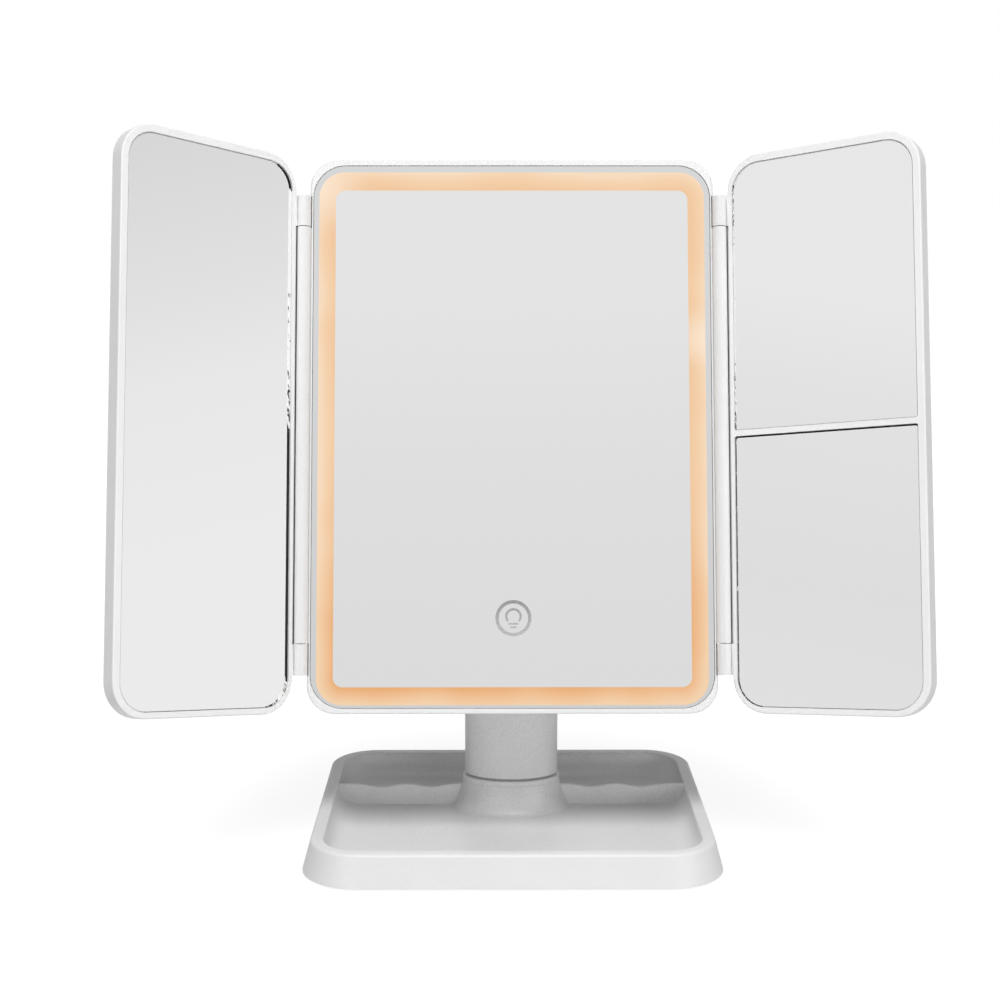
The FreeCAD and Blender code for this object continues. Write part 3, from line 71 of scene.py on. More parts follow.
def wing_matrix(name, side):
    """The frame that a wing's pieces are drawn in, swung to its place at rest."""
    joint = joints[f"{name}_wing_fold"]
    hinge = HEAD.inverted() @ Vector(joint["pos_m"])
    swing = math.radians(side * joint["range_deg"][0])
    turn = Matrix.Rotation(swing, 4, "Y")
    return HEAD @ Matrix.Translation(hinge) @ turn @ Matrix.Translation((0, 0, -HINGE_RISE))


# Colours


def gray(level):
    return (level, level, level, 1)


def linear(code):
    """A colour written as six hexadecimal digits, as linear light."""
    parts = [int(code[i:i + 2], 16) / 255 for i in (0, 2, 4)]
    curved = [c / 12.92 if c <= 0.04045 else ((c + 0.055) / 1.055) ** 2.4 for c in parts]
    return (*curved, 1.0)


# Materials

# Nearly all of a noise's values lie between these.
NOISE_RANGE = (0.3, 0.7)
GAP_REACH = 1.0 * MM
GAP_SAMPLES = 8
# An openness below the first counts as deep in a gap, above the second as open.
GAP_SHARES = (0.3, 0.72)


class Shader:
    """A material's nodes, with short ways to add and join them."""

    def __init__(self, name, tree=None):
        if tree is None:
            self.material = bpy.data.materials.new(name)
            self.material.use_nodes = True
            tree = self.material.node_tree
        self.tree = tree
        self.surface = tree.nodes.get("Principled BSDF")
        self.place = self.add("ShaderNodeTexCoord").outputs["Object"]

    def add(self, kind, **settings):
        node = self.tree.nodes.new(kind)
        for key, value in settings.items():
            setattr(node, key, value)
        return node

    def join(self, value, socket):
        if isinstance(value, bpy.types.NodeSocket):
            self.tree.links.new(value, socket)
        else:
            socket.default_value = value

    def set(self, **values):
        """Sets or joins the surface's sockets, with _ for a space in their names."""
        for key, value in values.items():
            self.join(value, self.surface.inputs[key.replace("_", " ")])
        return self

    def noise(self, size, detail=2.0, rough=0.5, stretch=(1, 1, 1)):
        """Noise whose lumps are about that many metres across, from 0 to 1."""
        mapping = self.add("ShaderNodeMapping")
        mapping.inputs["Scale"].default_value = stretch
        self.join(self.place, mapping.inputs["Vector"])
        node = self.add("ShaderNodeTexNoise")
        self.join(mapping.outputs["Vector"], node.inputs["Vector"])
        for key, value in (("Scale", 1 / size), ("Detail", detail), ("Roughness", rough)):
            node.inputs[key].default_value = value
        return node.outputs["Fac"]

    def spread(self, source, low, high, out_low=0.0, out_high=1.0, smooth=False):
        """Maps the range low..high of a value onto out_low..out_high, clamped."""
        node = self.add("ShaderNodeMapRange", interpolation_type="SMOOTHSTEP" if smooth else "LINEAR")
        for key, value in zip(("Value", "From Min", "From Max", "To Min", "To Max"),
                              (source, low, high, out_low, out_high)):
            self.join(value, node.inputs[key])
        return node.outputs["Result"]

    def math(self, operation, first, second=0.0):
        node = self.add("ShaderNodeMath", operation=operation)
        self.join(first, node.inputs[0])
        self.join(second, node.inputs[1])
        return node.outputs[0]

    def mix(self, factor, first, second):
        """The first colour where the factor is 0, the second where it is 1."""
        node = self.add("ShaderNodeMix", data_type="RGBA")
        # Sockets 6 and 7 are the colours. The node also has sockets for numbers and vectors.
        for socket, value in zip((0, 6, 7), (factor, first, second)):
            self.join(value, node.inputs[socket])
        return node.outputs[2]

    def ramp(self, factor, *stops):
        """A colour that runs through the stops, each a position from 0 to 1 and a colour."""
        node = self.add("ShaderNodeValToRGB")
        node.color_ramp.elements[0].position = stops[0][0]
        node.color_ramp.elements[-1].position = stops[-1][0]
        for position, _ in stops[1:-1]:
            node.color_ramp.elements.new(position)
        for element, (_, color) in zip(node.color_ramp.elements, stops):
            element.color = color
        self.join(factor, node.inputs["Fac"])
        return node.outputs["Color"]

    def bump(self, height, depth):
        """A surface relief that deep in metres."""
        node = self.add("ShaderNodeBump")
        node.inputs["Distance"].default_value = depth
        self.join(height, node.inputs["Height"])
        return node.outputs["Normal"]

    def distance(self, point):
        """How far each place on the surface is from a point."""
        node = self.add("ShaderNodeVectorMath", operation="DISTANCE")
        self.join(self.place, node.inputs[0])
        node.inputs[1].default_value = point
        return node.outputs["Value"]

    def openness(self):
        """0 deep inside a narrow gap, 1 in the open."""
        node = self.add("ShaderNodeAmbientOcclusion", samples=GAP_SAMPLES)
        node.inputs["Distance"].default_value = GAP_REACH
        return self.spread(node.outputs["AO"], *GAP_SHARES)

    def axis(self, letter, source=None):
        """One coordinate of a vector, or of the place on the surface."""
        node = self.add("ShaderNodeSeparateXYZ")
        self.join(source or self.place, node.inputs[0])
        return node.outputs[letter]


FLOW_MARKS = 50.0 * MM
ORANGE_PEEL = 3.0 * MM
PEEL_DEPTH = 0.006 * MM
SCUFFS = 20.0 * MM
# The colour of the painted shade in narrow gaps, darkest where occlusion is deepest.
GAP_SHADE = "4E4E4E"


def gloss_plastic(name, tint, rough=0.33, index=1.5, gaps=False):
    """Polished moulded plastic: faint flow marks in the colour, a slight orange peel and light wear.

    With gaps, painted shade darkens narrow gaps."""
    s = Shader(name)
    flow = s.spread(s.noise(FLOW_MARKS, 3.0), *NOISE_RANGE, smooth=True)
    shade = tuple(0.97 * c for c in tint[:3])
    color = s.mix(flow, tint, (*shade, 1))
    # Painted shade: occlusion darkens narrow gaps.
    if gaps:
        color = s.mix(s.openness(), linear(GAP_SHADE), color)
    peel = s.bump(s.noise(ORANGE_PEEL, 1.0), PEEL_DEPTH)
    scuffs = s.noise(SCUFFS, 3.0, 0.5, (1, 1, 0.4))
    wear = s.spread(scuffs, 0.25, 0.75, rough - 0.03, rough + 0.05, smooth=True)
    s.set(Base_Color=color, Roughness=wear, Normal=peel, IOR=index)
    return s.material


# The grain fades forwards, between these places along Y.
WIPED_FRONT = (-60.0 * MM, -5.0 * MM)
CLOUDS = 30.0 * MM


def grained_plastic(name, tint, rough=0.34, grain=0.6 * MM, depth=0.02 * MM):
    """Moulded plastic from a spark-eroded tool: a fine grain that also speckles the colour.

    The speckle is fainter towards the front, where hands wipe it most."""
    s = Shader(name)
    fine = s.noise(grain, 2.0, 0.6)
    coarse = s.noise(CLOUDS, 3.0)
    dark = tuple(0.87 * c for c in tint[:3])
    wiped = s.spread(s.axis("Y"), *WIPED_FRONT, 0.3, 1.0)
    speck = s.math("MULTIPLY", s.spread(fine, 0.36, 0.56, 1.0, 0.0), wiped)
    speckled = s.mix(speck, tint, (*dark, 1))
    pale = tuple(min(1.0, 1.02 * c) for c in tint[:3])
    clouded = s.mix(s.spread(coarse, 0.4, 0.65, 0.0, 0.6), speckled, (*pale, 1))
    s.set(Base_Color=clouded, Normal=s.bump(fine, depth), IOR=1.5)
    s.set(Roughness=s.spread(coarse, *NOISE_RANGE, rough - 0.05, rough + 0.08))
    return s.material


SMEARS = 30.0 * MM
DUST = 1.8 * MM


def mirror_silver(name, tint, rough=0.012):
    """Silvered glass with the faint smears and dust that a wiped mirror keeps."""
    s = Shader(name)
    smears = s.noise(SMEARS, 5.0, 0.65, (1, 0.4, 1.6))
    dust = s.noise(DUST, 1.0)
    specks = s.spread(dust, 0.72, 0.8, 0.0, 0.03)
    s.set(Metallic=1.0, Base_Color=tint)
    s.set(Roughness=s.math("ADD", s.spread(smears, 0.4, 0.75, rough, rough + 0.035), specks))
    return s.material


STAINS = 6.0 * MM
MARK_DEPTH = 0.01 * MM


def metal(name, tint, rough, stretch=(1, 1, 1), grain=0.6 * MM):
    """Metal with drawn or tumbled tool marks and uneven shine."""
    s = Shader(name)
    marks = s.noise(grain, 3.0, 0.6, stretch)
    stain = s.noise(STAINS, 3.0)
    dull = tuple(0.82 * c for c in tint[:3])
    s.set(Metallic=1.0, Base_Color=s.mix(s.spread(stain, 0.4, 0.7), tint, (*dull, 1)))
    s.set(Roughness=s.spread(marks, *NOISE_RANGE, rough - 0.08, rough + 0.12))
    s.set(Normal=s.bump(marks, MARK_DEPTH))
    return s.material


GRIT = 0.8 * MM
GRIT_DEPTH = 0.03 * MM


def soft_matte(name, tint, rough):
    """Rubber, foam tape and lead insulation: a dull, slightly dusty skin."""
    s = Shader(name)
    grit = s.noise(GRIT, 4.0, 0.65)
    dusty = tuple(min(1.0, c + 0.05) for c in tint[:3])
    s.set(Base_Color=s.mix(s.spread(grit, 0.45, 0.8, 0.0, 0.7), tint, (*dusty, 1)))
    s.set(Roughness=s.spread(grit, *NOISE_RANGE, rough - 0.1, rough + 0.1))
    s.set(Normal=s.bump(grit, GRIT_DEPTH))
    return s.material


TRACKS_PER_METRE = 180.0
TRACK_BEND = 3.0
TRACK_DEPTH = 0.03 * MM
MASK_HAZE = 4.0 * MM


def circuit_board(name):
    """Green solder mask with the lighter ghosts of the copper under it."""
    s = Shader(name)
    tracks = s.add("ShaderNodeTexWave", wave_type="BANDS", bands_direction="DIAGONAL")
    s.join(s.place, tracks.inputs["Vector"])
    tracks.inputs["Scale"].default_value = TRACKS_PER_METRE
    tracks.inputs["Distortion"].default_value = TRACK_BEND
    lines = s.spread(tracks.outputs["Fac"], 0.75, 0.85)
    s.set(Base_Color=s.mix(lines, linear("14502C"), linear("2C7A45")))
    s.set(Roughness=s.spread(s.noise(MASK_HAZE), *NOISE_RANGE, 0.3, 0.4), Normal=s.bump(lines, TRACK_DEPTH))
    return s.material


PHOSPHOR_GRAINS = 0.9 * MM
PHOSPHOR_DEPTH = 0.02 * MM


def phosphor(name):
    """The yellow cast face of a chip, unevenly filled."""
    s = Shader(name)
    cloud = s.spread(s.noise(PHOSPHOR_GRAINS, 2.0), *NOISE_RANGE)
    s.set(Base_Color=s.mix(cloud, linear("F0D060"), linear("F8E8A8")), Roughness=0.35)
    s.set(Normal=s.bump(cloud, PHOSPHOR_DEPTH))
    return s.material


# Etched glass, on the light band and the key sign.
FROST = 0.4 * MM
FROST_DEPTH = 0.01 * MM

# Above the first height the band has its upper colours, and below the second its lower ones.
BAND_DEEPENS = (160.0 * MM, 75.0 * MM)
# The lit band's colours, from its outer edge (0) to its inner one (1).
BAND_UPPER = ((0.0, "F8DDC0"), (0.35, "F6D4B0"), (0.7, "F4CEA7"), (1.0, "F2C9A0"))
BAND_LOWER = ((0.0, "F4D3AE"), (0.4, "F2C69C"), (0.7, "EFBB8B"), (1.0, "EAAF78"))
BAND_CLOUDS = 30.0 * MM
BAND_DRIFT = 0.22
BAND_GLOW = 0.96
# Where the band is brighter: each place across and up the panel, and how far round it.
BAND_BRIGHT_SPOTS = ((80 * MM, 40 * MM, 16 * MM), (-79 * MM, 103 * MM, 22 * MM))


def light_band(name):
    """The frosted window in the silvering, lit from behind: pale outside, deeper towards the middle."""
    s = Shader(name)
    across = s.axis("Y", s.add("ShaderNodeUVMap", uv_map="across").outputs["UV"])
    drift = s.spread(s.noise(BAND_CLOUDS, 1.0), *NOISE_RANGE, -BAND_DRIFT, BAND_DRIFT)
    shifted = s.math("ADD", across, drift)
    upper, lower = (s.ramp(shifted, *[(place, linear(code)) for place, code in stops])
                    for stops in (BAND_UPPER, BAND_LOWER))
    glow = s.mix(s.spread(s.axis("Z"), *BAND_DEEPENS, smooth=True), upper, lower)
    for x, y, reach in BAND_BRIGHT_SPOTS:
        near = s.spread(s.distance(HEAD @ Vector((x, y, GLASS_FRONT))), reach, 0.0, 0.0, 0.75, smooth=True)
        glow = s.mix(near, glow, linear("FDEAD4"))
    s.set(Base_Color=linear("201A12"), Emission_Color=glow, Emission_Strength=BAND_GLOW)
    frost = s.noise(FROST, 2.0)
    s.set(Roughness=s.spread(frost, *NOISE_RANGE, 0.42, 0.55), Normal=s.bump(frost, FROST_DEPTH))
    s.set(Specular_IOR_Level=0.12)
    return s.material


# The key sign's painted shade, darker towards the top, runs between these heights.
KEY_SHADE_HEIGHTS = (88.0 * MM, 106.0 * MM)


def key_mark_painted_shade(name):
    """The etched key sign: bare glass over the dark inside, with painted shade darker at the top of the ring."""
    s = Shader(name)
    # Painted shade: the grey darkens towards the top.
    shade = s.ramp(s.spread(s.axis("Z"), *KEY_SHADE_HEIGHTS), (0.0, linear("BEBEBE")), (0.45, linear("B2B2B2")),
                   (1.0, linear("8E8E8E")))
    frost = s.noise(FROST, 2.0)
    s.set(Base_Color=shade, Normal=s.bump(frost, FROST_DEPTH))
    s.set(Roughness=s.spread(frost, *NOISE_RANGE, 0.4, 0.55))
    return s.material


CHIP_DEPTH = 0.03 * MM
# The painted highlight on a rough edge's ground arris starts here, across from outside (0) to face (1).
ARRIS = (0.78, 0.86)


def painted_edge_reflection(name, stops, dark="0A0A0A", chip=1.2 * MM):
    """A mirror's rough cut edge, coloured as a painted reflection: dark, broken unevenly by painted glints.

    stops give, for heights in metres, how much of the edge is dark: over 1, no glint breaks it. chip
    is a chip's length, and a glint's."""
    s = Shader(name)
    low, high = stops[0][0], stops[-1][0]
    shares = [((z - low) / (high - low), gray(share)) for z, share in stops]
    share = s.ramp(s.spread(s.axis("Z"), low, high), *shares)
    chips = s.noise(chip, 3.0, 0.6, (1, 1, 0.35))
    painted = s.spread(s.math("SUBTRACT", share, s.spread(chips, 0.28, 0.72)), -0.05, 0.05)
    across = s.axis("Y", s.add("ShaderNodeUVMap", uv_map="across").outputs["UV"])
    # Painted reflection: dark where the height's share says, broken by bright painted glints.
    broken = s.mix(painted, linear("FFFFFF"), linear(dark))
    # A painted highlight along the ground arris.
    arris = s.spread(across, *ARRIS)
    s.set(Base_Color=s.mix(arris, broken, linear("FFFFFF")), Normal=s.bump(chips, CHIP_DEPTH))
    s.set(Roughness=s.spread(chips, *NOISE_RANGE, 0.3, 0.5), Specular_IOR_Level=0.3)
    return s.material


PAINT_DABS = 4.0 * MM
PAINT_DEPTH = 0.04 * MM


def back_paint(name):
    """The grey protective paint on a mirror's back."""
    s = Shader(name)
    dabs = s.noise(PAINT_DABS, 4.0, 0.6, (1, 1, 0.3))
    s.set(Base_Color=s.mix(s.spread(dabs, 0.35, 0.7), linear("4A4E50"), linear("5E6264")))
    s.set(Roughness=s.spread(dabs, *NOISE_RANGE, 0.45, 0.65), Normal=s.bump(dabs, PAINT_DEPTH))
    return s.material


MATERIALS = {
    "white_gloss": gloss_plastic("white_gloss", gray(0.86)),
    "white_matte": grained_plastic("white_matte", gray(0.82)),
    "mirror": mirror_silver("mirror", gray(0.9)),
    "diffuser": soft_matte("diffuser", (0.9, 0.88, 0.84, 1), 0.5),
    "chassis": grained_plastic("chassis", (0.7, 0.7, 0.69, 1), 0.55),
    "tape": soft_matte("tape", (0.03, 0.03, 0.032, 1), 0.9),
    "strip": soft_matte("strip", (0.85, 0.85, 0.82, 1), 0.5),
    "chips": phosphor("chips"),
    "board": circuit_board("board"),
    "screws": metal("screws", (0.6, 0.6, 0.62, 1), 0.38),
    "bright_steel": metal("bright_steel", (0.68, 0.68, 0.69, 1), 0.25, (0.1, 1, 1)),
    "socket": metal("socket", (0.7, 0.7, 0.72, 1), 0.25),
    "copper": metal("copper", (0.85, 0.5, 0.34, 1), 0.3),
    "cell": metal("cell", (0.72, 0.73, 0.75, 1), 0.4, grain=2.0 * MM),
    "lead": soft_matte("lead", (0.5, 0.04, 0.03, 1), 0.45),
    "bracket": grained_plastic("bracket", (0.8, 0.8, 0.79, 1), 0.4, 0.9 * MM, 0.06 * MM),
    "washer": soft_matte("washer", (0.025, 0.025, 0.028, 1), 0.5),
    "foot": soft_matte("foot", (0.05, 0.05, 0.055, 1), 0.85),
}
# The frames' front rims are satin, duller than their sides, and their white is lighter, as painted light.
BEZEL_WHITE = gloss_plastic("bezel_white", gray(0.87), 0.42, 1.36)
# The wings' rims are painted light: a clearly lighter copy of the white.
LIT_RIM_WHITE = gloss_plastic("rim_white_painted_light", gray(0.92), 0.42, 1.36)
# The hinges are a darker copy of the frames' white, painted shade, with painted shade in their narrow gaps.
SHADED_HINGE_WHITE = gloss_plastic("hinge_white_painted_shade", gray(0.81), gaps=True)
EDGE_SILVER = mirror_silver("edge_silver", (0.86, 0.86, 0.87, 1), 0.08)
MARGIN_SILVER = mirror_silver("margin_silver", (0.785, 0.79, 0.795, 1), 0.03)
BAND = light_band("light_band")
KEY = key_mark_painted_shade("key_mark_painted_shade")
BACK_PAINT = back_paint("back_paint")
# How much of each rough edge's painted reflection is dark, by height.
LEFT_PAINTED_EDGE = painted_edge_reflection("left_edge_painted_reflection", (
    (0.064, 0.55), (0.07, 0.4), (0.0746, 0.6), (0.079, 1.1), (0.168, 1.1), (0.176, 0.55), (0.19, 0.32),
    (0.225, 0.24), (0.24, 0.0), (0.2705, 0.0), (0.2725, 1.1), (0.285, 1.1),
))
RIGHT_PAINTED_EDGE = painted_edge_reflection("right_edge_painted_reflection", (
    (0.064, 0.6), (0.08, 0.85), (0.165, 0.75), (0.173, 0.55), (0.195, 0.4), (0.205, 0.1), (0.245, 0.05),
    (0.255, 0.4), (0.268, 0.5), (0.285, 0.6),
), "3A3A3A", 0.7 * MM)
# Painted shadow under the divider bar: dark all along, with the arris's painted highlight.
BAR_PAINTED_SHADOW = painted_edge_reflection("bar_edge_painted_shadow", ((0.064, 1.0), (0.285, 1.0)))


def dress_nodes():
    """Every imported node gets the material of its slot."""
    for part in frame["record"]["subparts"]:
        materials = nodes[part["node"]].data.materials
        materials.clear()
        materials.append(MATERIALS[part["material_slot"]])


# Faces this near a hinge's axis belong to its barrel or knuckles.
HINGE_REACH = 3.65 * MM
# Faces whose normals point out of the mirror by this share belong to the rim.
FACING = 0.6


def from_hinge(point):
    """The distance of a place from the nearer of the two wing hinges' axes."""
    axes = [joints[f"{name}_wing_fold"] for name in ("left", "right")]
    return min((point - Vector(j["pos_m"])).cross(Vector(j["axis"])).length for j in axes)


def dress_frame(node, matrix, rim):
    """A mirror's frame: satin rim painted lighter, hinges painted darker, and painted shade in their gaps."""
    mesh = nodes[node].data
    mesh.materials.append(rim)
    mesh.materials.append(SHADED_HINGE_WHITE)
    rim_slot, hinge_slot = 1, 2
    outward = matrix.col[2].xyz
    for face in mesh.polygons:
        if from_hinge(face.center) < HINGE_REACH:
            face.material_index = hinge_slot
        elif face.normal.dot(outward) > FACING:
            face.material_index = rim_slot


# Mesh building


def new_piece(name, mesh, matrix, materials, body):
    """An object of the mesh, drawn in the matrix's frame, that rides on a body."""
    bmesh.ops.recalc_face_normals(mesh, faces=mesh.faces)
    bmesh.ops.transform(mesh, matrix=matrix, verts=mesh.verts)
    data = bpy.data.meshes.new(name)
    mesh.to_mesh(data)
    mesh.free()
    piece = bpy.data.objects.new(name, data)
    bpy.context.scene.collection.objects.link(piece)
    for material in materials:
        data.materials.append(material)
    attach(piece, body)
    return piece


def loop_points(box, low_corner, high_corner, z):
    """A rounded rectangle's points, from the right end of its lower side round to the left."""
    left, right, low, high = box
    corners = (
        (right, low, -1, 1, low_corner, -90), (right, high, -1, -1, high_corner, 0),
        (left, high, 1, -1, high_corner, 90), (left, low, 1, 1, low_corner, 180),
    )
    points = []
    for x, y, inward_x, inward_y, radius, start in corners:
        middle = Vector((x + inward_x * radius, y + inward_y * radius, z))
        for step in range(CORNER_STEPS + 1):
            angle = math.radians(start + 90 * step / CORNER_STEPS)
            points.append(middle + radius * Vector((math.cos(angle), math.sin(angle), 0)))
    return points


def inset(box, left=0.0, right=0.0, low=0.0, high=0.0):
    """A smaller box, its sides moved inwards by that much."""
    return (box[0] + left, box[1] - right, box[2] + low, box[3] - high)


def nested_loops(mesh, shapes):
    """Rounded rectangles of vertices, ready to be bridged, in a mesh with a map of how far across."""
    mesh.loops.layers.uv.new("across")
    return [[mesh.verts.new(point) for point in loop_points(*shape)] for shape in shapes]


def bridge(mesh, outer, inner, slot):
    """A strip of faces between two loops with equal numbers of vertices: 0 across outside, 1 inside."""
    across = mesh.loops.layers.uv["across"]
    faces = []
    count = len(outer)
    for i in range(count):
        j = (i + 1) % count
        face = mesh.faces.new((outer[i], outer[j], inner[j], inner[i]))
        face.material_index = slot
        for corner, place in zip(face.loops, (0, 0, 1, 1)):
            corner[across].uv = (0.0, place)
        faces.append(face)
    return faces


def local_box(node, matrix):
    """A node's left, right, low and high ends in the matrix's frame."""
    back = matrix.inverted()
    points = [back @ vertex.co for vertex in nodes[node].data.vertices]
    across = [point.x for point in points]
    up = [point.y for point in points]
    return (min(across), max(across), min(up), max(up))


# Foot of the neck

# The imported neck: half its width and depth, its place, and the floor of the well round it.
NECK_HALVES = (21.3 * MM, 13.0 * MM)
NECK_Y = 18.0 * MM
WELL_FLOOR = 4.6 * MM
FOOT_HEIGHT = 12.0 * MM
FOOT_REACH = 5.0 * MM
# How far the curve's middle points keep it upright at its top and level at its foot.
FOOT_UPRIGHT = 2.0 * MM
FOOT_LEVEL = 2.8 * MM
# How deep the flare's body reaches into the neck and the floor.
FOOT_SINK = 0.4 * MM
FOOT_STEPS = 16
OVAL_STEPS = 96


def foot_curve(t):
    """A cubic curve, from t = 0 on the neck to 1 on the floor: how far out it is, and how high."""
    parts = ((1 - t) ** 3, 3 * t * (1 - t) ** 2, 3 * t * t * (1 - t), t ** 3)
    out = parts[2] * (FOOT_REACH - FOOT_LEVEL) + parts[3] * FOOT_REACH
    rise = parts[0] * FOOT_HEIGHT + parts[1] * (FOOT_HEIGHT - FOOT_UPRIGHT)
    return out, rise


def oval_point(angle, offset, z):
    """A point beside the neck's oval, offset outwards at right angles to it."""
    half_x, half_y = NECK_HALVES
    cosine, sine = math.cos(angle), math.sin(angle)
    outward = Vector((half_y * cosine, half_x * sine, 0)).normalized()
    return Vector((half_x * cosine, NECK_Y + half_y * sine, z)) + offset * outward


def neck_foot():
    """The flare by which the neck runs out into the tray's floor."""
    mesh = bmesh.new()
    curve = [foot_curve(step / FOOT_STEPS) for step in range(FOOT_STEPS + 1)]
    inside = [(-FOOT_SINK, -FOOT_SINK), (-FOOT_SINK, FOOT_HEIGHT)]
    section = [*inside, *curve, (FOOT_REACH, -FOOT_SINK)]
    first_curved = len(inside)
    rings = []
    for step in range(OVAL_STEPS):
        angle = 2 * math.pi * step / OVAL_STEPS
        rings.append([mesh.verts.new(oval_point(angle, out, WELL_FLOOR + rise)) for out, rise in section])
    for i, ring in enumerate(rings):
        after = rings[(i + 1) % OVAL_STEPS]
        for j in range(len(section)):
            k = (j + 1) % len(section)
            face = mesh.faces.new((ring[j], ring[k], after[k], after[j]))
            face.smooth = first_curved <= j < first_curved + FOOT_STEPS
    new_piece("neck_foot", mesh, Matrix(), (MATERIALS["white_matte"],), "stand")


# Centre mirror

GLASS_CORNER = 13.35 * MM
GLASS_BEVEL = 0.15 * MM
BAND_OUTER = (-80.3 * MM, 80.3 * MM, -111.5 * MM, 110.0 * MM)
BAND_INNER = (-73.4 * MM, 73.4 * MM, -104.2 * MM, 102.2 * MM)
BAND_OUTER_CORNER = 10.6 * MM
BAND_INNER_CORNER = 4.0 * MM


def centre_mirror():
    """The lit mirror: silvered margin and middle, and the frosted band between them."""
    mesh = bmesh.new()
    box = local_box("main_mirror_glass", HEAD)
    bevelled = inset(box, *[GLASS_BEVEL] * 4)
    loops = nested_loops(mesh, [(outline, corner, corner, z) for outline, corner, z in (
        (box, GLASS_CORNER, GLASS_BACK),
        (box, GLASS_CORNER, GLASS_FRONT - GLASS_BEVEL),
        (bevelled, GLASS_CORNER - GLASS_BEVEL, GLASS_FRONT),
        (BAND_OUTER, BAND_OUTER_CORNER, GLASS_FRONT),
        (BAND_INNER, BAND_INNER_CORNER, GLASS_FRONT),
    )])
    silver, margin, band, paint = range(4)
    for i, slot in enumerate((margin, margin, margin, band)):
        bridge(mesh, loops[i], loops[i + 1], slot)
    mesh.faces.new(loops[4]).material_index = silver
    mesh.faces.new(list(reversed(loops[0]))).material_index = paint
    materials = (MATERIALS["mirror"], MARGIN_SILVER, BAND, BACK_PAINT)
    piece = new_piece("centre_mirror", mesh, HEAD, materials, "head")
    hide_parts("main_mirror_glass")


KEY_MIDDLE = Vector((0.4 * MM, -76.1 * MM, GLASS_FRONT))
KEY_LIFT = 0.03 * MM
KEY_BODY = 0.8 * KEY_LIFT
RING_RADIUS = 6.7 * MM
RING_WIDTH = 1.4 * MM
RING_STEPS = 96
BULB_RADIUS = 2.95 * MM
BULB_RISE = 0.7 * MM
BULB_STEPS = 48
# The bulb's outline is open below, over this many degrees.
BULB_OPEN = 100
STROKE = 0.92 * MM
# The bars under the bulb, each its width and its height from the key's middle.
BARS = ((4.1 * MM, -2.3 * MM), (2.6 * MM, -3.75 * MM))
BAR_STROKE = 0.69 * MM


def arc_line(middle, radius, start, end, steps):
    """Points along an arc, its ends given in degrees."""
    angles = [math.radians(start + (end - start) * i / steps) for i in range(steps + 1)]
    return [middle + radius * Vector((math.cos(a), math.sin(a), 0)) for a in angles]


def stroke(mesh, line, width, closed=False):
    """A flat ribbon of that width along a line, a little proud of the glass."""
    left, right = [], []
    count = len(line)
    for i, point in enumerate(line):
        before = line[i - 1] if i or closed else point
        after = line[(i + 1) % count] if i < count - 1 or closed else point
        along = (after - before).normalized()
        aside = Vector((-along.y, along.x, 0)) * width / 2
        for side, offset in ((left, aside), (right, -aside)):
            side.append(mesh.verts.new(point + offset + Vector((0, 0, KEY_LIFT))))
    last = count if closed else count - 1
    for i in range(last):
        j = (i + 1) % count
        mesh.faces.new((left[i], left[j], right[j], right[i]))


def key_sign():
    """A ring round a lamp bulb: the sign of the touch key."""
    mesh = bmesh.new()
    ring = arc_line(KEY_MIDDLE, RING_RADIUS, 0, 360 - 360 / RING_STEPS, RING_STEPS - 1)
    stroke(mesh, ring, RING_WIDTH, closed=True)
    bulb = KEY_MIDDLE + Vector((0, BULB_RISE, 0))
    start = -90 + BULB_OPEN / 2
    stroke(mesh, arc_line(bulb, BULB_RADIUS, start, start + 360 - BULB_OPEN, BULB_STEPS), STROKE)
    for width, rise in BARS:
        bar = [KEY_MIDDLE + Vector((x * width / 2, rise, 0)) for x in (-1, 1)]
        stroke(mesh, bar, BAR_STROKE)
    piece = new_piece("touch_key_sign", mesh, HEAD, (KEY,), "head")
    thickness = piece.modifiers.new("body", "SOLIDIFY")
    thickness.thickness = KEY_BODY
    thickness.offset = 0.0


# Wing mirrors

WING_CORNER = 11.35 * MM
BAR_CORNER = 0.85 * MM
BEVEL_DROP = 0.35 * MM
FINE_BEVEL = 0.25 * MM
# The painted reflection on the rough hinge-side edge stops at this height above the wing's middle.
PAINTED_EDGE_TOP = 110.7 * MM
# Each its node, wing, lower and upper corner, hinge-side and upper bevel, and edge's painted reflection.
WING_MIRRORS = (
    ("left_wing_mirror", "left", WING_CORNER, WING_CORNER, 1.9 * MM, 0.45 * MM, LEFT_PAINTED_EDGE),
    ("right_upper_mirror", "right", BAR_CORNER, WING_CORNER, 0.8 * MM, 0.45 * MM, RIGHT_PAINTED_EDGE),
    ("right_lower_mirror", "right", WING_CORNER, BAR_CORNER, 0.7 * MM, 0.85 * MM, RIGHT_PAINTED_EDGE),
)


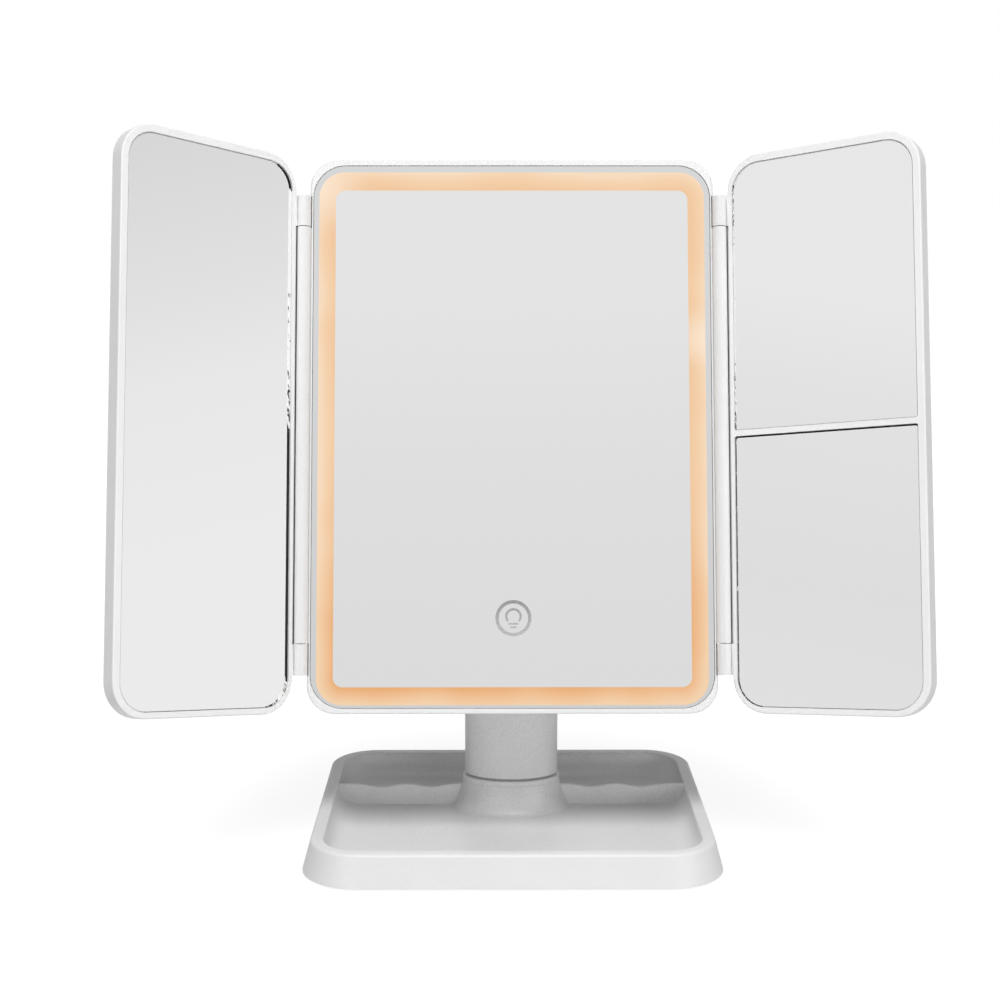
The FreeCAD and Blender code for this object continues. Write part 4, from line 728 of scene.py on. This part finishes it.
def wing_mirror(node, wing, low_corner, high_corner, hinge_bevel, high_bevel, edge_reflection):
    """A side mirror with a ground edge all round, wide and rough, with a painted reflection, on the hinge side."""
    side = SIDES[wing]
    matrix = wing_matrix(wing, side)
    box = local_box(node, matrix)
    mesh = bmesh.new()
    bevels = {"left": FINE_BEVEL, "right": FINE_BEVEL, "low": FINE_BEVEL, "high": high_bevel}
    bevels["right" if side < 0 else "left"] = hinge_bevel
    loops = nested_loops(mesh, (
        (box, low_corner, high_corner, GLASS_BACK),
        (box, low_corner, high_corner, GLASS_FRONT - BEVEL_DROP),
        (inset(box, **bevels), low_corner, high_corner, GLASS_FRONT),
    ))
    # The rough slot takes the hinge side's painted reflection, the bar slot the painted shadow under the divider
    # bar.
    silver, ground, paint, rough, bar = range(5)
    bridge(mesh, loops[0], loops[1], ground)
    bevel = bridge(mesh, loops[1], loops[2], ground)
    mesh.faces.new(loops[2]).material_index = silver
    mesh.faces.new(list(reversed(loops[0]))).material_index = paint
    middle = (box[0] + box[1]) / 2
    for face in bevel:
        place = face.calc_center_median()
        if place.y < PAINTED_EDGE_TOP and -side * (place.x - middle) > (box[1] - box[0]) / 2 - low_corner:
            face.material_index = rough
        # Only the mirror under the divider bar has its upper bevel the wider one, with a painted shadow on it.
        if high_bevel > hinge_bevel and place.y > box[3] - high_bevel:
            face.material_index = bar
    materials = (MATERIALS["mirror"], EDGE_SILVER, BACK_PAINT, edge_reflection, BAR_PAINTED_SHADOW)
    piece = new_piece(f"{node}_glass", mesh, matrix, materials, f"{wing}_wing")
    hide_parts(node)


# Studio

LAMPS_AIM = (0, 0, 0.15)
# Each its name, place, width, height and power in watts.
LAMPS = (
    ("high_front", (0, -0.75, 1.3), 1.0, 0.5, 13.4),
    ("low_left", (-0.55, -1.15, 0.2), 0.5, 0.4, 1.3),
    ("low_right", (0.75, -1.0, 0.2), 0.6, 0.4, 2.3),
    ("back", (0, 0.9, 1.1), 1.0, 0.5, 0.6),
)


def lamp(name, place, width, height, power):
    """A soft box that faces the object."""
    data = bpy.data.lights.new(name, "AREA")
    data.shape = "RECTANGLE"
    data.size = width
    data.size_y = height
    data.energy = power
    light = bpy.data.objects.new(name, data)
    light.location = place
    direction = Vector(LAMPS_AIM) - light.location
    light.rotation_euler = direction.to_track_quat("-Z", "Y").to_euler()
    bpy.context.scene.collection.objects.link(light)


def seen_directly(shader):
    """The light path, and a value: 1 for camera, glossy and transmission rays, 0 for diffuse rays."""
    path = shader.add("ShaderNodeLightPath")
    total = shader.math("ADD", path.outputs["Is Camera Ray"], path.outputs["Is Glossy Ray"])
    return path, shader.math("MINIMUM", shader.math("ADD", total, path.outputs["Is Transmission Ray"]), 1.0)


AMBIENT = 0.15
# The walls' levels as mirrors show them, by the upward share of the direction looked in.
FRONT_WALL = ((0.0, 0.8), (0.08, 0.82), (0.16, 0.8), (0.22, 0.79), (0.33, 0.815), (0.43, 0.862),
              (0.6, 0.86))
RIGHT_WALL = ((0.0, 0.925), (0.1, 0.922), (0.2, 0.895), (0.25, 0.835), (0.34, 0.75), (0.6, 0.72))
LEFT_WALL = ((0.0, 0.82), (0.09, 0.825), (0.16, 0.806), (0.22, 0.826), (0.27, 0.846), (0.32, 0.893),
             (0.6, 0.895))
REAR_WALL = 0.9
# Where the front wall turns into the others, by the rightward and backward share of the direction.
TO_RIGHT = (0.45, 0.7)
TO_LEFT = (-0.3, -0.6)
TO_REAR = (0.05, 0.35)


def studio_world():
    """White to the camera, soft graded walls in the mirrors, and an even low light on surfaces."""
    world = bpy.data.worlds.new("studio")
    bpy.context.scene.world = world
    world.use_nodes = True
    s = Shader("studio", world.node_tree)
    background = world.node_tree.nodes["Background"]
    direction = s.add("ShaderNodeTexCoord").outputs["Generated"]
    rise = s.axis("Z", direction)
    right = s.axis("X", direction)
    back = s.axis("Y", direction)

    def wall(stops):
        return s.ramp(rise, *[(up, gray(level)) for up, level in stops])

    walls = s.mix(s.spread(right, *TO_RIGHT, smooth=True), wall(FRONT_WALL), wall(RIGHT_WALL))
    walls = s.mix(s.spread(right, *TO_LEFT, smooth=True), walls, wall(LEFT_WALL))
    walls = s.mix(s.spread(back, *TO_REAR, smooth=True), walls, gray(REAR_WALL))
    path, direct = seen_directly(s)
    lighting = s.mix(direct, gray(AMBIENT), walls)
    s.join(s.mix(path.outputs["Is Camera Ray"], lighting, gray(1.0)), background.inputs["Color"])
    background.inputs["Strength"].default_value = 1.0


FLOOR_SIZE = 6.0
# What lights the object from below, and what the camera and the mirrors see shadows on.
FLOOR_COLOR = gray(0.84)
SHADOW_COLOR = gray(0.22)
# The floor's own glow grows to full white between these distances from the origin.
SHADOW_REACH = (0.09, 0.19)
FLOOR_GLOW = (0.88, 1.0)
# Mirrors show the floor darker than the camera does, by this share.
REFLECTION_LOSS = 0.3


def floor():
    """A pale sheet that keeps the shadow near the object and fades to white round it."""
    mesh = bmesh.new()
    bmesh.ops.create_grid(mesh, x_segments=1, y_segments=1, size=FLOOR_SIZE)
    data = bpy.data.meshes.new("studio_floor")
    mesh.to_mesh(data)
    mesh.free()
    sheet = bpy.data.objects.new("studio_floor", data)
    bpy.context.scene.collection.objects.link(sheet)
    s = Shader("studio_floor")
    glow = s.spread(s.distance((0, 0, 0)), *SHADOW_REACH, *FLOOR_GLOW, smooth=True)
    path, direct = seen_directly(s)
    dimmed = s.math("MULTIPLY", path.outputs["Is Glossy Ray"], REFLECTION_LOSS)
    s.set(Base_Color=s.mix(direct, FLOOR_COLOR, SHADOW_COLOR))
    s.set(Roughness=0.9, Specular_IOR_Level=0.0, Emission_Color=gray(1.0))
    s.set(Emission_Strength=s.math("MULTIPLY", glow, s.math("SUBTRACT", direct, dimmed)))
    # Only camera, glossy and transmission rays see the glow, so it isn't sampled as a lamp.
    s.material.cycles.emission_sampling = "NONE"
    data.materials.append(s.material)


CAMERA_LENS = 60.05
CAMERA_SENSOR = 36.0
CAMERA_PLACE = (-0.0077, -0.6892, 0.2581)
CAMERA_PITCH = 80.574
CAMERA_YAW = -0.224


def camera():
    """The photograph's camera, lens and sensor in millimetres and angles in degrees."""
    data = bpy.data.cameras.new("camera")
    data.lens = CAMERA_LENS
    data.sensor_width = CAMERA_SENSOR
    view = bpy.data.objects.new("camera", data)
    view.location = CAMERA_PLACE
    view.rotation_euler = (math.radians(CAMERA_PITCH), 0, math.radians(CAMERA_YAW))
    bpy.context.scene.collection.objects.link(view)
    bpy.context.scene.camera = view


dress_nodes()
dress_frame("head_front_frame", HEAD, BEZEL_WHITE)
for wing, side in SIDES.items():
    dress_frame(f"{wing}_wing_frame", wing_matrix(wing, side), LIT_RIM_WHITE)
neck_foot()
centre_mirror()
key_sign()
for mirror in WING_MIRRORS:
    wing_mirror(*mirror)
studio_world()
floor()
for settings in LAMPS:
    lamp(*settings)
camera()
bpy.context.scene.view_settings.view_transform = "Standard"
